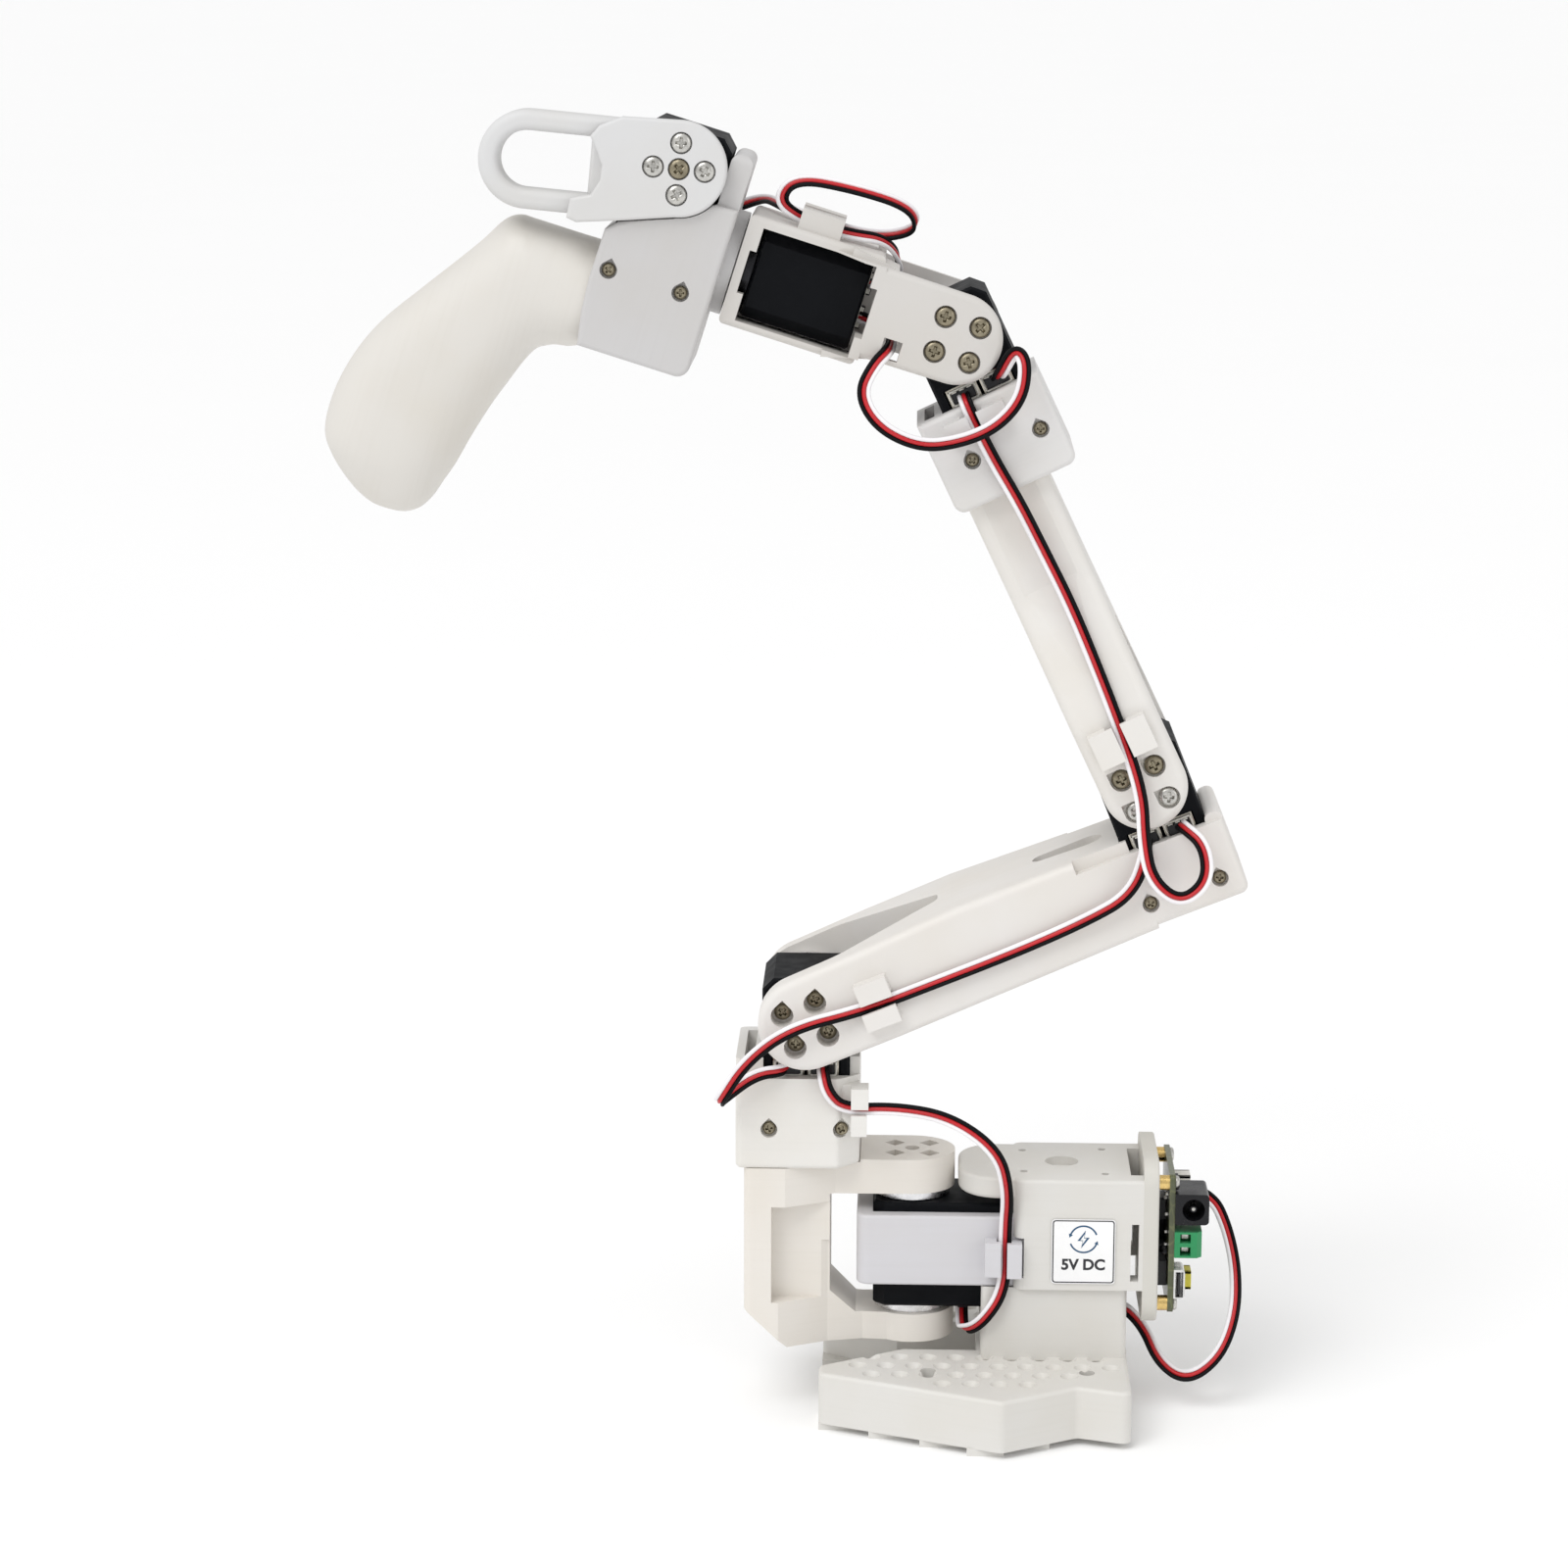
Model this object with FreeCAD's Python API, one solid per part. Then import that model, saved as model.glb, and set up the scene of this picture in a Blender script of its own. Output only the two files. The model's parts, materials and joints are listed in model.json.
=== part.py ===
import FreeCAD, Part
import math
import os

# Six-axis desktop leader arm: printed white links, six bus servos, pistol grip and ring trigger.
#
# Millimetres, +Z up.  The arm lies in the XZ plane and reaches towards -X, the control board stands at the
# +X end, and the near side of every servo, with its lead sockets, looks along -Y.  The origin is on the
# underside of the base, below the shoulder pan axis.

Vec = FreeCAD.Vector
os.makedirs("parts", exist_ok=True)

# ---- servo ----------------------------------------------------------------------------------------
CASE_FRONT = 11.0            # output axis to the round end of the case
CASE_BACK = 34.2             # output axis to the other end
CASE_HALF_WIDTH = 12.36
CASE_HALF_DEPTH = 15.5
HORN_RADIUS = 10.8
HORN_FACE = 18.1             # middle of the servo to the outer face of either horn
HORN_GAP = 0.3               # between a horn and the case it turns on
SCREW_CIRCLE_RADIUS = 7.0    # four horn screws
CASE_SCREW_X = 31.93         # output axis to the two mounting screws
CASE_SCREW_Z = 10.25

# ---- arm geometry ---------------------------------------------------------------------------------
LIFT_AXIS = (-30.4, 116.6)   # X and Z of the shoulder lift axis
PAN_MID = 45.6               # height of the middle of the pan servo
UPPER_ANGLE = 22.0           # direction of each beam in the XZ plane, anticlockwise from +X
FOREARM_ANGLE = 115.5
WRIST_ANGLE = 162.5
TRIGGER_ANGLE = 174.5
ELBOW_IN_UPPER = (112.57, 28.0)
WRIST_IN_FOREARM = (134.8, -5.2)
ROLL_DROP = 0.8              # roll axis below the wrist axis, across the wrist
ROLL_HORN_FACE = 61.1        # wrist axis to the face of the roll horn
TRIGGER_IN_WRIST = (85.7, -20.7)

# ---- base -----------------------------------------------------------------------------------------
PLATE_TOP = 17.0
FOOT_HEIGHT = 2.0
TOWER_TOP = 70.3
TOWER_HALF_DEPTH = 19.0
BAND_LOW = 37.8
BAND_HIGH = 58.5
BOARD_PLATE_X = 65.8

# ---- leads ----------------------------------------------------------------------------------------
LEAD_DIAMETER = 3.0          # round three wires of 1.2 mm that lie side by side


# ---- shapes ---------------------------------------------------------------------------------------
def block(x0, x1, y0, y1, z0, z1):
    return Part.makeBox(x1 - x0, y1 - y0, z1 - z0, Vec(x0, y0, z0))


def rod_x(y, z, radius, x0, x1):
    return Part.makeCylinder(radius, x1 - x0, Vec(x0, y, z), Vec(1, 0, 0))


def rod_y(x, z, radius, y0, y1):
    return Part.makeCylinder(radius, y1 - y0, Vec(x, y0, z), Vec(0, 1, 0))


def rod_z(x, y, radius, z0, z1):
    return Part.makeCylinder(radius, z1 - z0, Vec(x, y, z0), Vec(0, 0, 1))


def prism_y(outline, y0, y1):
    """An outline of (x, z) points pushed along Y."""
    wire = Part.makePolygon([Vec(x, y0, z) for x, z in outline + outline[:1]])
    return Part.Face(wire).extrude(Vec(0, y1 - y0, 0))


def prism_z(outline, z0, z1):
    """An outline of (x, y) points pushed along Z."""
    wire = Part.makePolygon([Vec(x, y, z0) for x, y in outline + outline[:1]])
    return Part.Face(wire).extrude(Vec(0, 0, z1 - z0))


def join(shapes):
    return shapes[0].multiFuse(shapes[1:]).removeSplitter() if len(shapes) > 1 else shapes[0]


def cut(shape, tools):
    return shape.cut(Part.makeCompound(tools))


def edges_along(shape, axis, keep=lambda centre: True):
    """The straight edges parallel to an axis whose middle passes the test."""
    found = []
    for edge in shape.Edges:
        if len(edge.Vertexes) != 2:
            continue
        way = edge.Vertexes[1].Point - edge.Vertexes[0].Point
        straight = abs(edge.Length - way.Length) < 1e-6
        if straight and way.Length > 1e-6 and abs(abs(way.normalize().dot(axis)) - 1) < 1e-6:
            if keep(edge.CenterOfMass):
                found.append(edge)
    return found


def edges_on(shape, axis, value, keep=lambda centre: True):
    """The edges that lie in the plane where the coordinate along the axis has this value."""
    found = []
    for edge in shape.Edges:
        points = edge.discretize(3)
        if all(abs(p.dot(axis) - value) < 1e-4 for p in points) and keep(edge.CenterOfMass):
            found.append(edge)
    return found


X_AXIS, Y_AXIS, Z_AXIS = Vec(1, 0, 0), Vec(0, 1, 0), Vec(0, 0, 1)


def teardrop(x, z, radius, y0, y1, point_angle):
    """A round hole along Y with the 90 degree point that a printer can bridge."""
    a = math.radians(point_angle)
    tip = (x + radius * math.sqrt(2) * math.cos(a), z + radius * math.sqrt(2) * math.sin(a))
    sides = []
    for turn in (45, -45):
        b = a + math.radians(turn)
        sides.append((x + radius * math.cos(b), z + radius * math.sin(b)))
    wedge = prism_y([(x, z), sides[1], tip, sides[0]], y0, y1)
    return rod_y(x, z, radius, y0, y1).fuse(wedge)


def frame(x, z, angle):
    """The placement of a link: its own x axis along the angle in the XZ plane, its y axis along Y."""
    return FreeCAD.Placement(Vec(x, 0, z), FreeCAD.Rotation(Vec(0, -1, 0), angle))


def basis(origin, x_dir, y_dir):
    """A placement from the directions that a shape's own x and y axes take."""
    rotation = FreeCAD.Rotation(Vec(*x_dir), Vec(*y_dir), Vec(*x_dir).cross(Vec(*y_dir)), "XYZ")
    return FreeCAD.Placement(Vec(*origin), rotation)


def placed(shape, *placements):
    """The shape after each placement in turn, the innermost first."""
    for placement in placements:
        shape = shape.transformed(placement.toMatrix())
    return shape


def mirrored_y(shape):
    return shape.mirror(Vec(0, 0, 0), Y_AXIS)


def write(name, *shapes):
    solids = [solid for shape in shapes for solid in shape.Solids]
    bad = [i for i, solid in enumerate(solids) if not solid.isValid() or solid.Volume <= 0]
    assert solids and not bad, (name, bad)
    Part.makeCompound(solids).exportStep(f"parts/{name}.step")
    print(f"{name}: {len(solids)} solids, {sum(s.Volume for s in solids):.0f} mm3")


# ---- placements of the links ----------------------------------------------------------------------
UPPER = frame(*LIFT_AXIS, UPPER_ANGLE)
elbow_point = UPPER.multVec(Vec(ELBOW_IN_UPPER[0], 0, ELBOW_IN_UPPER[1]))
FOREARM = frame(elbow_point.x, elbow_point.z, FOREARM_ANGLE)
wrist_point = FOREARM.multVec(Vec(WRIST_IN_FOREARM[0], 0, WRIST_IN_FOREARM[1]))
WRIST = frame(wrist_point.x, wrist_point.z, WRIST_ANGLE)
trigger_point = WRIST.multVec(Vec(TRIGGER_IN_WRIST[0], 0, TRIGGER_IN_WRIST[1]))
TRIGGER = frame(trigger_point.x, trigger_point.z, TRIGGER_ANGLE)

# Each servo's own frame: x from the output axis along the case, y from the idler horn and the lead
# sockets towards the driven horn, z across the case.
PAN_SERVO = [basis((0, 0, PAN_MID), (1, 0, 0), (0, 0, 1))]
LIFT_SERVO = [frame(*LIFT_AXIS, -90)]
ELBOW_SERVO = [frame(*ELBOW_IN_UPPER, -90), UPPER]
WRIST_SERVO = [frame(*WRIST_IN_FOREARM, 180), FOREARM]
ROLL_SERVO = [basis((ROLL_HORN_FACE - HORN_FACE, 0, ROLL_DROP), (0, 1, 0), (1, 0, 0)), WRIST]
TRIGGER_SERVO = [basis((TRIGGER_IN_WRIST[0], 0, TRIGGER_IN_WRIST[1]), (0, 0, 1), (0, -1, 0)), WRIST]

HORN_SCREWS = [(SCREW_CIRCLE_RADIUS, k * 90) for k in range(4)]


def on_circle(turn):
    """The four horn screw places, the whole set turned by an angle."""
    return [(r * math.cos(math.radians(a + turn)), r * math.sin(math.radians(a + turn)))
            for r, a in HORN_SCREWS]


# ---- servo pieces ---------------------------------------------------------------------------------
SHAFT_RADIUS = 3.0
STUB_RADIUS = 2.4
SHAFT_FIT = 0.06
SOCKET_X = (12.0, 17.8)
SOCKET_HALF_SPAN = 9.8
SOCKET_FLOOR = -10.5
COVER_SPLITS = (-6.5, 7.0)
CASE_WALL = 1.8


def servo_case():
    """Rear cover, middle case and front cover, hollow, with the socket recess in the rear cover."""
    body = block(-CASE_FRONT, CASE_BACK, -CASE_HALF_DEPTH, CASE_HALF_DEPTH,
                 -CASE_HALF_WIDTH, CASE_HALF_WIDTH)
    body = body.makeChamfer(3.2, edges_along(body, Y_AXIS, lambda c: c.x < 0))
    body = body.makeChamfer(1.6, edges_along(body, Y_AXIS, lambda c: c.x > CASE_BACK - 1))
    rims = edges_on(body, Y_AXIS, CASE_HALF_DEPTH) + edges_on(body, Y_AXIS, -CASE_HALF_DEPTH)
    body = body.makeChamfer(0.7, rims)
    inside = CASE_HALF_DEPTH - CASE_WALL
    hollow = block(-CASE_FRONT + 3.4, CASE_BACK - CASE_WALL, -inside, inside,
                   -CASE_HALF_WIDTH + CASE_WALL, CASE_HALF_WIDTH - CASE_WALL)
    corner_posts = [rod_y(CASE_SCREW_X, s * CASE_SCREW_Z, 3.0, -inside, inside) for s in (-1, 1)]
    tray = block(SOCKET_X[0] - 1.2, SOCKET_X[1] + 1.2, -inside, SOCKET_FLOOR + 1.0,
                 -SOCKET_HALF_SPAN - 1.2, SOCKET_HALF_SPAN + 1.2)
    hollow = cut(hollow, corner_posts + [tray])
    openings = [
        hollow,
        block(SOCKET_X[0], SOCKET_X[1], -20, SOCKET_FLOOR, -SOCKET_HALF_SPAN, SOCKET_HALF_SPAN),
        rod_y(0, 0, SHAFT_RADIUS + SHAFT_FIT, 0, 20),
        rod_y(0, 0, STUB_RADIUS + SHAFT_FIT, -20, 0),
    ]
    for s in (-1, 1):
        openings.append(rod_y(CASE_SCREW_X, s * CASE_SCREW_Z, 1.25, -20, 20))
    body = cut(body, openings)
    low, high = COVER_SPLITS
    return [body.common(block(-40, 40, a, b, -20, 20)) for a, b in ((-20, low), (low, high), (high, 20))]


def servo_internals():
    """Circuit board with its two lead sockets, the motor, and two compound gears on their pins."""
    board = block(-6.5, 27.5, -9.4, -8.0, -9.8, 9.8)
    motor = rod_y(21.5, 0, 7.6, -5.5, 6.5).fuse(rod_y(21.5, 0, 1.2, 6.5, 12.6))
    gear_a = join([rod_y(11.6, 0, 3.6, 10.4, 12.8), rod_y(11.6, 0, 5.6, 7.6, 10.0),
                   rod_y(11.6, 0, 1.0, 7.6, 13.7)])
    gear_b = rod_y(21.5, 0, 3.4, 7.6, 10.0).cut(rod_y(21.5, 0, 1.4, 5, 14))
    sockets = [block(SOCKET_X[0] + 0.3, SOCKET_X[1] - 0.3, -14.6, SOCKET_FLOOR - 0.1, z, z + 8.8)
               for z in (-9.3, 0.5)]
    return [board, motor, gear_a, gear_b] + sockets


def horn(y_in, y_out, shaft_radius, shaft_end, turn=45):
    """A horn disc with its hub, and the shaft or stub that reaches into the case."""
    disc = rod_y(0, 0, HORN_RADIUS, min(y_in, y_out), max(y_in, y_out))
    disc = disc.makeChamfer(0.4, edges_on(disc, Y_AXIS, y_out))
    holes = [rod_y(x, z, 1.5, -20, 20) for x, z in on_circle(turn)]
    holes.append(rod_y(0, 0, 1.4, -20, -14) if y_out < 0 else rod_y(0, 0, 1.4, 14, 20))
    shaft = rod_y(0, 0, shaft_radius, min(y_in, shaft_end), max(y_in, shaft_end))
    return cut(disc.fuse(shaft), holes)


def servo_horns(turn=45, both=True):
    """The driven horn, in one piece with the output gear, and the idler horn on the other side."""
    face = CASE_HALF_DEPTH + HORN_GAP
    driven = horn(face, HORN_FACE, SHAFT_RADIUS, 10.2, turn).fuse(rod_y(0, 0, 7.0, 10.4, 12.8))
    if not both:
        return [driven]
    return [driven, horn(-face, -HORN_FACE, STUB_RADIUS, -12.6, turn)]


def screw(x, z, seat, tip, head_radius=2.75, head_height=1.7, shank_radius=1.4):
    """A pan-head screw along Y, its head on the side away from its tip."""
    way = 1 if tip > seat else -1
    head_top = seat - way * head_height
    head = rod_y(x, z, head_radius, min(seat, head_top), max(seat, head_top))
    head = head.makeFillet(min(1.0, head_height * 0.6), edges_on(head, Y_AXIS, head_top))
    shank = rod_y(x, z, shank_radius, min(seat, tip), max(seat, tip))
    return head.fuse(shank)


def horn_screw_set(turn, near_floor, far_floor, sides=(-1, 1)):
    """Four screws through each side plate into its horn, given the floors of their counterbores."""
    screws = []
    for side in sides:
        floor = near_floor if side < 0 else far_floor
        for x, z in on_circle(turn):
            screws.append(screw(x, z, side * floor, side * (CASE_HALF_DEPTH + HORN_GAP + 0.3)))
    return screws


MOUNT_HEAD_RADIUS = 1.9
MOUNT_SCREW_FLOOR = 17.6      # middle of the servo to the seat of a mounting screw


def mount_screw_set(floor):
    """The two screws on each side that hold the case in its holder."""
    return [screw(CASE_SCREW_X, s * CASE_SCREW_Z, side * floor, side * 9.0, MOUNT_HEAD_RADIUS, 1.5, 1.15)
            for side in (-1, 1) for s in (-1, 1)]


# ---- holes for screws -----------------------------------------------------------------------------
def clevis_holes(turn, floor, outer, point_angle=None, bore=3.2, sides=(-1, 1)):
    """Clearance holes and counterbores for the horn screws; a point angle makes them teardrops."""
    tools = []
    for side in sides:
        for x, z in on_circle(turn):
            ends = sorted((side * floor, side * (outer + 1)))
            if point_angle is None:
                tools.append(rod_y(x, z, bore, *ends))
            else:
                tools.append(teardrop(x, z, bore, *ends, point_angle))
            through = sorted((side * (HORN_FACE - 1), side * (outer + 1)))
            tools.append(rod_y(x, z, 1.6, *through))
    return tools


def holder_holes(places, floor, outer, point_angle):
    """Holes for the mounting screws in both walls of a servo holder."""
    tools = []
    for x, z in places:
        for side in (-1, 1):
            ends = sorted((side * floor, side * (outer + 1)))
            tools.append(teardrop(x, z, 2.4, ends[0], ends[1], point_angle))
            through = sorted((side * (CASE_HALF_DEPTH - 1), side * (outer + 1)))
            tools.append(rod_y(x, z, 1.35, *through))
    return tools


# ---- base -----------------------------------------------------------------------------------------
LOBE = [(-26, -26), (-26, -33), (25.5, -55), (47, -42), (62, -47), (62, -1), (19, -1), (19, -12),
        (-4, -12), (-20.5, -22.5)]
TEETH = [(-26, -11.7, -33), (-11.7, 2.7, -39.3), (2.7, 15.9, -45.5), (15.9, 26.2, -52),
         (26.2, 39.1, -46), (39.1, 62, -38)]
DIMPLE_PITCH = 8.0
SERVO_CLEARANCE = 0.15


def base_lobe():
    """The near half of the foot plate, on its stepped feet, with the printed dimples in its top."""
    plate = prism_z(LOBE, FOOT_HEIGHT, PLATE_TOP)
    plate = plate.makeFillet(2.5, edges_along(plate, Z_AXIS, lambda c: c.y < -14))
    plate = plate.makeFillet(1.2, edges_on(plate, Z_AXIS, PLATE_TOP, lambda c: c.y < -13))
    feet = []
    for x0, x1, y0 in TEETH:
        inner = -14 if x0 < -5 else -4
        feet.append(block(x0, x1, y0, inner - (6 if x0 < -20 else 0), 0, FOOT_HEIGHT))
    dimples = []
    for row in range(5):
        for column in range(10):
            x = -19 + DIMPLE_PITCH * (column + 0.5 * (row % 2))
            y = -18.5 - DIMPLE_PITCH * 0.9 * row
            front = -55 + (25.5 - x) * 22 / 51.5 if x < 25.5 else -55 + (x - 25.5) * 13 / 21.5
            if y > front + 6 and x < 58:
                dimples.append(Part.makeCone(2.6, 1.6, 1.4, Vec(x, y, PLATE_TOP + 0.01), Vec(0, 0, -1)))
    return cut(join([plate] + feet), dimples)


def base_frame():
    """Foot plate, tower that grips the pan servo, and the rails for the board plate."""
    near = base_lobe()
    bridge = block(19, 62, -12, 12, 0, PLATE_TOP)
    column = block(20, 61.6, -17.2, 17.2, PLATE_TOP - 1, BAND_LOW)
    column = column.makeFillet(2.0, edges_along(column, Z_AXIS))
    tower = block(29, 62.3, -TOWER_HALF_DEPTH, TOWER_HALF_DEPTH, BAND_LOW, TOWER_TOP)
    tower = tower.makeFillet(3.0, edges_along(tower, Z_AXIS, lambda c: c.x < 40))
    lobe = block(13.3, 40, -17, 17, 63.9, TOWER_TOP)
    lobe = lobe.makeFillet(11.5, edges_along(lobe, Z_AXIS, lambda c: c.x < 20))
    lobe = lobe.makeFillet(1.5, edges_on(lobe, Z_AXIS, 63.9))
    rails = []
    for s in (-1, 1):
        rail = block(62.3, BOARD_PLATE_X, min(s * 19, s * 13), max(s * 19, s * 13), BAND_LOW, TOWER_TOP)
        window = block(62.3, BOARD_PLATE_X - 1.2, -20, 20, 40.5, 57.5)
        rails.append(rail.cut(window))
    whole = join([near, mirrored_y(near), bridge, column, tower, lobe] + rails)
    top_edges = edges_on(whole, Z_AXIS, TOWER_TOP, lambda c: c.x < 62)
    whole = whole.makeFillet(1.0, top_edges)
    gap = SERVO_CLEARANCE
    servo_room = block(-CASE_FRONT, CASE_BACK + gap, -CASE_HALF_WIDTH - gap, CASE_HALF_WIDTH + gap,
                       PAN_MID - CASE_HALF_DEPTH - gap, PAN_MID + CASE_HALF_DEPTH + gap)
    band_room = block(-20, 40.2, -16.7, 16.7, BAND_LOW - gap, BAND_HIGH + gap)
    duct = block(10, 70, 2.5, 9.5, 22.5, 31)
    board_room = block(46, 70, -9, 9, 42, 64)
    top_recess = rod_z(43, 0, 4.8, TOWER_TOP - 2.5, TOWER_TOP + 1)
    small_holes = [rod_z(x, y, 1.1, TOWER_TOP - 4, TOWER_TOP + 1)
                   for x, y in ((31.9, 10.25), (31.9, -10.25), (55, 12), (55, -12))]
    lug_room = block(20, 32, -22, -15, 41.2, 53.0)
    mount_holes = [rod_z(x, s * 30, 2.25, -1, PLATE_TOP + 1) for x in (5, 50) for s in (-1, 1)]
    rooms = [servo_room, band_room, lug_room, duct, board_room, top_recess]
    return cut(whole, rooms + small_holes + mount_holes)


def pan_servo_holder():
    """The printed band that wraps the pan servo and slides into the tower."""
    outer = block(-15.7, 40, -16.5, 16.5, BAND_LOW, BAND_HIGH)
    outer = outer.makeFillet(3.5, edges_along(outer, Z_AXIS, lambda c: c.x < 0))
    outer = outer.makeFillet(0.8, edges_on(outer, Z_AXIS, BAND_LOW) + edges_on(outer, Z_AXIS, BAND_HIGH))
    gap = SERVO_CLEARANCE
    room = block(-CASE_FRONT - gap, CASE_BACK + gap, -CASE_HALF_WIDTH - gap, CASE_HALF_WIDTH + gap, 0, 90)
    lugs = [block(20.9, 24.2, -20.1, -16.0, 42.2, 52.3), block(20.9, 25.4, -21.7, -20.1, 42.2, 52.3),
            block(28.4, 31.4, -20.1, -16.0, 41.8, 52.0), block(27.2, 31.4, -21.7, -20.1, 41.8, 52.0)]
    return join([outer.cut(room)] + lugs)


# ---- control board --------------------------------------------------------------------------------
PCB_X = (73.2, 74.8)
PCB_Z = (30.3, 71.2)
PCB_HALF_DEPTH = 16.5
BOARD_SCREWS = [(s * 13.8, z) for s in (-1, 1) for z in (32.7, 68.5)]


def board_plate():
    plate = block(BOARD_PLATE_X, BOARD_PLATE_X + 4.4, -19, 19, 27, 75.5)
    plate = plate.makeFillet(7.0, edges_along(plate, X_AXIS))
    plate = plate.makeFillet(0.8, edges_on(plate, X_AXIS, BOARD_PLATE_X + 4.4))
    return cut(plate, [rod_x(y, z, 1.3, 60, 80) for y, z in BOARD_SCREWS])


def board_standoffs():
    return [rod_x(y, z, 2.2, BOARD_PLATE_X + 4.4, PCB_X[0]).cut(rod_x(y, z, 1.3, 60, 80))
            for y, z in BOARD_SCREWS]


def control_board():
    board = block(*PCB_X, -PCB_HALF_DEPTH, PCB_HALF_DEPTH, *PCB_Z)
    board = board.makeFillet(2.0, edges_along(board, X_AXIS))
    return cut(board, [rod_x(y, z, 1.3, 60, 80) for y, z in BOARD_SCREWS])


def board_screws():
    screws = []
    for y, z in BOARD_SCREWS:
        head = rod_x(y, z, 2.1, PCB_X[1], PCB_X[1] + 1.5)
        head = head.makeFillet(0.8, edges_on(head, X_AXIS, PCB_X[1] + 1.5))
        screws.append(head.fuse(rod_x(y, z, 1.2, BOARD_PLATE_X + 0.6, PCB_X[1])))
    return screws


def power_jack():
    face = PCB_X[1]
    body = block(face, face + 9.6, -17.8, -3.8, 57.2, 66.2)
    body = body.makeFillet(1.2, edges_along(body, Y_AXIS, lambda c: c.x > face + 5))
    socket = rod_y(face + 5.2, 61.6, 3.2, -18, -8)
    pin = rod_y(face + 5.2, 61.6, 0.9, -16.8, -7)
    return [body.cut(socket).fuse(pin)]


def screw_terminal():
    face = PCB_X[1]
    body = block(face, face + 7.8, -17.2, -8.2, 47.2, 54.8)
    body = body.makeChamfer(1.4, edges_along(body, Z_AXIS, lambda c: c.x > face + 5 and c.y < -12))
    mouths = [block(face + 1.6, face + 4.6, -18, -11, z - 1.3, z + 1.3) for z in (49.1, 52.9)]
    drivers = [rod_x(-12.6, z, 1.4, face + 6.2, face + 9) for z in (49.1, 52.9)]
    return [cut(body, mouths + drivers)]


def usb_socket():
    face = PCB_X[1]
    shell = block(face, face + 3.2, -17.4, -10.0, 35.1, 43.7)
    shell = shell.makeFillet(1.3, edges_along(shell, Y_AXIS, lambda c: c.x > face + 2))
    mouth = block(face + 0.5, face + 2.7, -18, -11.0, 35.5, 43.0)
    tongue = block(face + 1.3, face + 1.9, -16.6, -11.0, 36.2, 42.3)
    return [shell.cut(mouth).fuse(tongue)]


def bus_connectors():
    """Two three-pin lead sockets on the far half of the board, and a small power header."""
    face = PCB_X[1]
    sockets = [block(face, face + 5.8, y, y + 6.0, z, z + 9.8).cut(
        block(face + 1.2, face + 7, y + 1.0, y + 5.0, z + 1.0, z + 8.8))
        for y, z in ((6.5, 54.5), (6.5, 39.5))]
    header = block(face, face + 6.1, -1.0, 5.0, 32.4, 37.8)
    return sockets + [header.cut(block(face + 1.2, face + 7, -0.2, 4.2, 33.2, 37.0))]


def board_components():
    face = PCB_X[1]
    chips = [(-5.5, 1.5, 47.5, 54.5, 1.4), (8.0, 11.0, 32.0, 35.0, 1.2), (2.5, 5.5, 62, 66, 2.0),
             (-8, -5, 31.6, 34.2, 1.0), (13.4, 15.4, 44, 52, 1.8)]
    return [block(face, face + h, y0, y1, z0, z1) for y0, y1, z0, z1, h in chips]


# ---- shoulder -------------------------------------------------------------------------------------
LIFT_HOLDER_LOW = 73.0
PAN_ARM_LOW = (19.3, PAN_MID - HORN_FACE)
PAN_ARM_HIGH = (PAN_MID + HORN_FACE, 73.8)
PAN_HORN_FLOOR = HORN_FACE + 2.4


def pan_bracket():
    """The C-shaped bracket that turns on both horns of the pan servo and carries the lift servo."""
    profile = [(-47.8, LIFT_HOLDER_LOW), (-47.8, 31), (-35.5, PAN_ARM_LOW[0]), (16, PAN_ARM_LOW[0]),
               (16, PAN_ARM_LOW[1]), (-16, PAN_ARM_LOW[1]), (-23.4, 34.5), (-23.4, PAN_ARM_HIGH[0]),
               (16, PAN_ARM_HIGH[0]), (16, PAN_ARM_HIGH[1]), (-14.8, PAN_ARM_HIGH[1]),
               (-14.8, LIFT_HOLDER_LOW)]
    solid = prism_y(profile, -22, 22)
    upper_plan = join([rod_z(0, 0, 12.3, 50, 90),
                       prism_z([(-48, -19.5), (-36, -19.5), (-22, -12.3), (0, -12.3), (0, 12.3),
                                (-22, 12.3), (-36, 19.5), (-48, 19.5)], 50, 90)])
    lower_plan = join([rod_z(0, 0, 12.3, 0, 50),
                       prism_z([(-48, -19.5), (-38, -19.5), (-24, -12.0), (-14, -9.6), (-7, -10.1),
                                (-7, 10.1), (-14, 9.6), (-24, 12.0), (-38, 19.5), (-48, 19.5)], 0, 50)])
    solid = solid.common(join([upper_plan, lower_plan]))
    recesses = [block(-40, -20, min(s * 13, s * 30), max(s * 13, s * 30), 33, 61.5) for s in (-1, 1)]
    solid = cut(solid, recesses)
    outer_edges = edges_along(solid, Z_AXIS, lambda c: c.x < -47)
    solid = solid.makeFillet(2.0, outer_edges)
    tools = []
    for x, y in on_circle(45):
        for low, high in ((PAN_MID + PAN_HORN_FLOOR, 80), (10, PAN_MID - PAN_HORN_FLOOR)):
            tools.append(rod_z(x, y, 2.1, low, high))
            tools.append(prism_z([(x - 3.0, y), (x, y - 3.0), (x + 3.0, y), (x, y + 3.0)], low, high))
        tools.append(rod_z(x, y, 1.6, 10, 80))
    tools.append(rod_z(0, 0, 2.1, 10, 80))
    return cut(solid, tools)


def pan_screws():
    """Horn screws of the pan bracket, standing upright."""
    screws = []
    for side in (-1, 1):
        for x, z in on_circle(45):
            screws.append(screw(x, z, side * PAN_HORN_FLOOR, side * (CASE_HALF_DEPTH + HORN_GAP + 0.3),
                                1.9, 1.4, 1.2))
    return [placed(s, *PAN_SERVO) for s in screws]


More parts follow.
